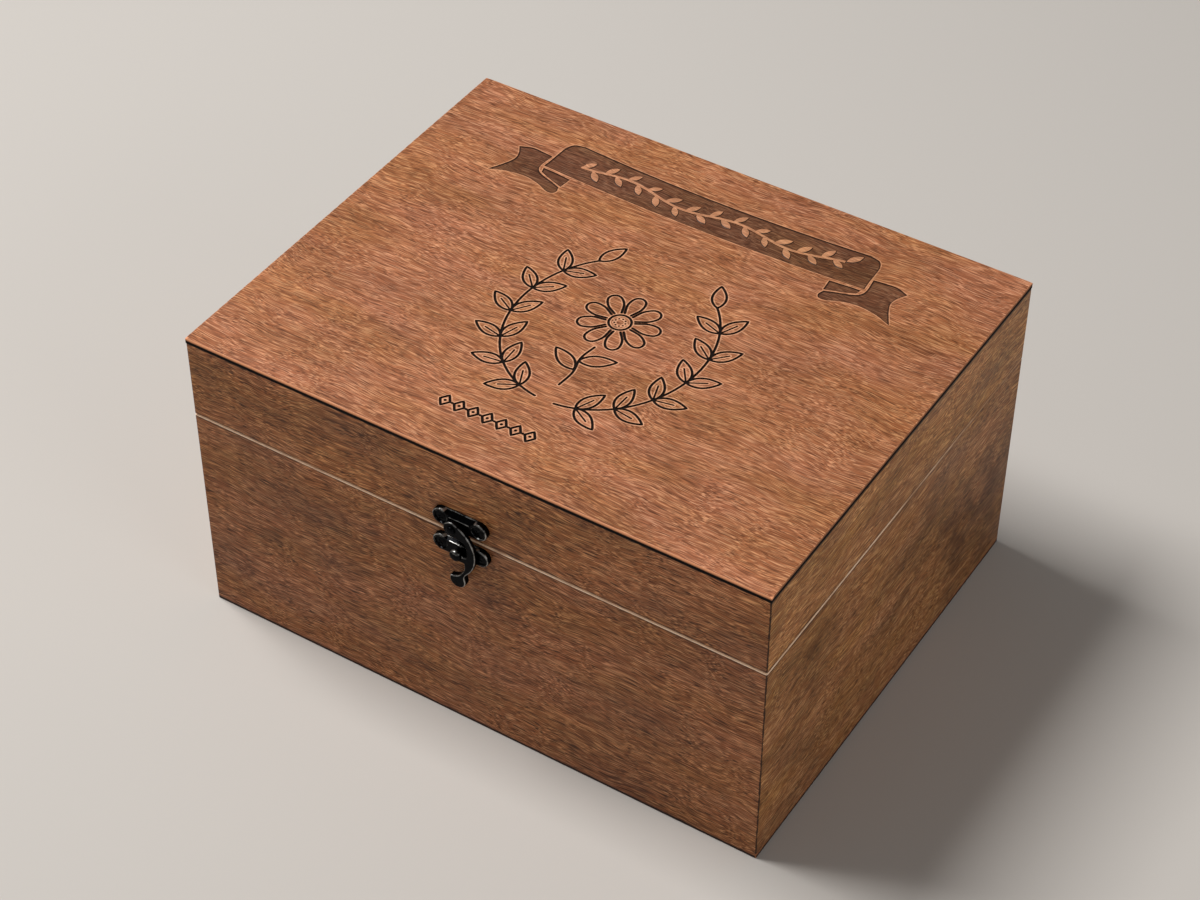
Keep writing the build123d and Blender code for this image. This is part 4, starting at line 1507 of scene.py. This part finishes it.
# %% [markdown]
# ## Leaf scroll in the ribbon's field
# The field of the ribbon was cut down round a scroll of leaves, which therefore stands
# in it at the height of the lid, with sides that the laser burnt, darkened further as
# painted shade. A second tree grows it along a path. First comes its stem, a strip with
# sloping sides.

# %% Scroll stem
scroll_tree, add, given = new_tree("leaf_scroll", {
    "Leaf Length": 9.4, "Leaf Width": 4.4, "Leaf Spacing": 5.9, "Leaf Angle": 0.8, "Stem Width": 1.2,
    "Height": 0.3, "Seed": 0}, Path="Geometry", Finish="Material")
path = add("GeometryNodeMeshToCurve", {"Mesh": given["Path"]})
upright = add("GeometryNodeSetCurveNormal", {"Curve": path}, mode="Z_UP")
foot_width = add("ShaderNodeMath", {0: given["Stem Width"], 1: 0.3})
section = add("GeometryNodeCurvePrimitiveQuadrilateral", {
    "Height": given["Height"], "Bottom Width": foot_width, "Top Width": given["Stem Width"],
    "Offset": 0.0}, mode="TRAPEZOID")
stem = add("GeometryNodeCurveToMesh", {"Curve": upright, "Profile Curve": section, "Fill Caps": True})
half_height = add("ShaderNodeMath", {0: given["Height"], 1: 0.5}, operation="MULTIPLY")
stem = add("GeometryNodeTransform", {
    "Geometry": stem, "Translation": add("ShaderNodeCombineXYZ", {"Z": half_height})})
print("scroll stem:", len(scroll_tree.nodes), "nodes")

# %% [markdown]
# ## The scroll's leaves
# A leaf is a round disc whose sides are drawn in to points. Its copies stand along the
# path, to the left and to the right in turn, and their angle and size vary a little from
# leaf to leaf, by a fixed seed.

# %% Scroll tree
disc = add("GeometryNodeMeshCone", {
    "Vertices": 20, "Radius Top": 0.88, "Radius Bottom": 1.0, "Depth": given["Height"]})
x, y, z = add("ShaderNodeSeparateXYZ", {0: add("GeometryNodeInputPosition")}).outputs
half_length, half_leaf = (add("ShaderNodeMath", {0: given[size], 1: 0.5}, operation="MULTIPLY")
                          for size in ("Leaf Length", "Leaf Width"))
away = add("ShaderNodeMath", {0: y}, operation="ABSOLUTE")
drawn_in = add("ShaderNodeMath", {0: y, 1: away}, operation="MULTIPLY")
leaf_place = add("ShaderNodeCombineXYZ", {
    "X": add("ShaderNodeMath", {0: x, 1: half_length, 2: half_length}, operation="MULTIPLY_ADD"),
    "Y": add("ShaderNodeMath", {0: drawn_in, 1: half_leaf}, operation="MULTIPLY"), "Z": z})
leaf = add("GeometryNodeSetPosition", {"Geometry": disc.outputs["Mesh"], "Position": leaf_place})
shoots = add("GeometryNodeResampleCurve", {"Curve": path, "Length": given["Leaf Spacing"]}, mode="LENGTH")
heading = add("FunctionNodeAlignRotationToVector", {"Vector": add("GeometryNodeInputTangent")},
              axis="X", pivot_axis="Z")
index = add("GeometryNodeInputIndex")
odd = add("ShaderNodeMath", {0: index, 1: 2.0}, operation="MODULO")
side_sign = add("ShaderNodeMath", {0: odd, 1: -2.0, 2: 1.0}, operation="MULTIPLY_ADD")
varied = add("FunctionNodeRandomValue", {"Min": 0.85, "Max": 1.15, "Seed": given["Seed"]},
             data_type="FLOAT")
spread = add("ShaderNodeMath", {0: given["Leaf Angle"], 1: varied}, operation="MULTIPLY")
turn = add("ShaderNodeMath", {0: spread, 1: side_sign}, operation="MULTIPLY")
turned_by = add("FunctionNodeAxisAngleToRotation", {"Axis": (0, 0, 1), "Angle": turn})
other_draw = add("ShaderNodeMath", {0: index, 1: 7.0})
sized = add("FunctionNodeRandomValue", {
    "Min": 0.84, "Max": 1.06, "Seed": given["Seed"], "ID": other_draw}, data_type="FLOAT")
leaves = add("GeometryNodeInstanceOnPoints", {
    "Points": shoots, "Instance": leaf,
    "Scale": add("ShaderNodeCombineXYZ", {"X": sized, "Y": sized, "Z": 0.94}),
    "Rotation": add("FunctionNodeRotateRotation", {"Rotation": heading, "Rotate By": turned_by},
                    rotation_space="LOCAL")})
end_tree(add, leaves, [stem], given["Finish"])
print("scroll tree:", len(scroll_tree.nodes), "nodes")

# %% [markdown]
# ## The scroll's finish and path
# The top of the scroll is the lid's own stained face, made paler as a painted highlight,
# and its sides are dark, burnt and painted as shade, which the height alone tells the
# shader. The path waves gently along the middle of the band.

# %% Leaf scroll
WAVE_HEIGHT, WAVE_STRETCH = 2.4, 9.4
scroll_wood, add, shader, place, base = stained_birch("stained_birch_plywood_raised_scroll")
height = add("ShaderNodeSeparateXYZ", {"Vector": place}).outputs["Z"]
burnt_and_shaded_side = add("ShaderNodeMapRange", {
    "Value": height, "From Min": top - 0.10, "From Max": top - 0.04, "To Min": 0.95, "To Max": 0.0})
# A painted highlight makes the scroll's face paler, and its sides are burnt dark, with painted shade.
for share, colour in ((0.35, linear("#E2A47A")), (burnt_and_shaded_side, linear("#22130B"))):
    base = add("ShaderNodeMix", {"Factor": share, "A": base, "B": colour}, data_type="RGBA")
finish_with(shader, Base_Color=base)
scroll_floor = top - FIELD - 0.01
scroll_path = []
for x in np.linspace(-70.0, 71.0, 180):
    wave = WAVE_HEIGHT * math.sin((x - ribbon_middle) / WAVE_STRETCH)
    scroll_path.append((x, (low_edge(x) + top_edge(x)) / 2 + wave, scroll_floor))
steps = [(i, i + 1) for i in range(len(scroll_path) - 1)]
run_tree(scroll_tree, "raised_leaf_scroll", scroll_path, steps,
         {"Seed": 5, "Height": FIELD - 0.01, "Finish": scroll_wood}, "lid")

# %% [markdown]
# ## Light and floor
# A plain pale floor, a faint even sky and one large soft lamp high on the left of the box,
# as in the photograph, where the lid is the brightest side by far. The front and the
# right side get their light from the sky, from the floor, and from a weak soft lamp. The
# camera itself sees a brighter sky than the box does, so that the background stays pale.

# %% Lights, sky and floor
SKY, KEY, FILL = 0.12, 66.0, 8.0
AIM = Vector((0, 0, 0.08))
world = bpy.data.worlds.new("studio")
bpy.context.scene.world = world
world.use_nodes = True
add = partial(node, world.node_tree)
to_camera = add("ShaderNodeLightPath").outputs["Is Camera Ray"]
sky_strength = add("ShaderNodeMath", {0: to_camera, 1: SKY}, operation="MAXIMUM")
finish_with(world.node_tree.nodes["Background"], Color=grey(1.0), Strength=sky_strength)
for name, place, size, power in (
        ("overhead_softbox", (-1.25, -0.20, 2.30), 1.0, KEY),
        ("side_softbox", (1.80, -0.40, 0.80), 1.2, FILL)):
    lamp = in_scene(name, bpy.data.lights.new(name, "AREA"))
    lamp.data.energy = power
    lamp.data.size = size
    lamp.location = place
    lamp.rotation_euler = (AIM - Vector(place)).to_track_quat("-Z", "Y").to_euler()
floor_mesh = bpy.data.meshes.new("floor")
floor_mesh.from_pydata([(-4, -4, 0), (4, -4, 0), (4, 4, 0), (-4, 4, 0)], [], [(0, 1, 2, 3)])
floor = in_scene("floor", floor_mesh)
floor_material, add, floor_shader = new_material("pale_floor")
finish_with(floor_shader, Base_Color=linear("#CBC5BE"), Roughness=0.9)
floor_mesh.materials.append(floor_material)
print("studio ready")
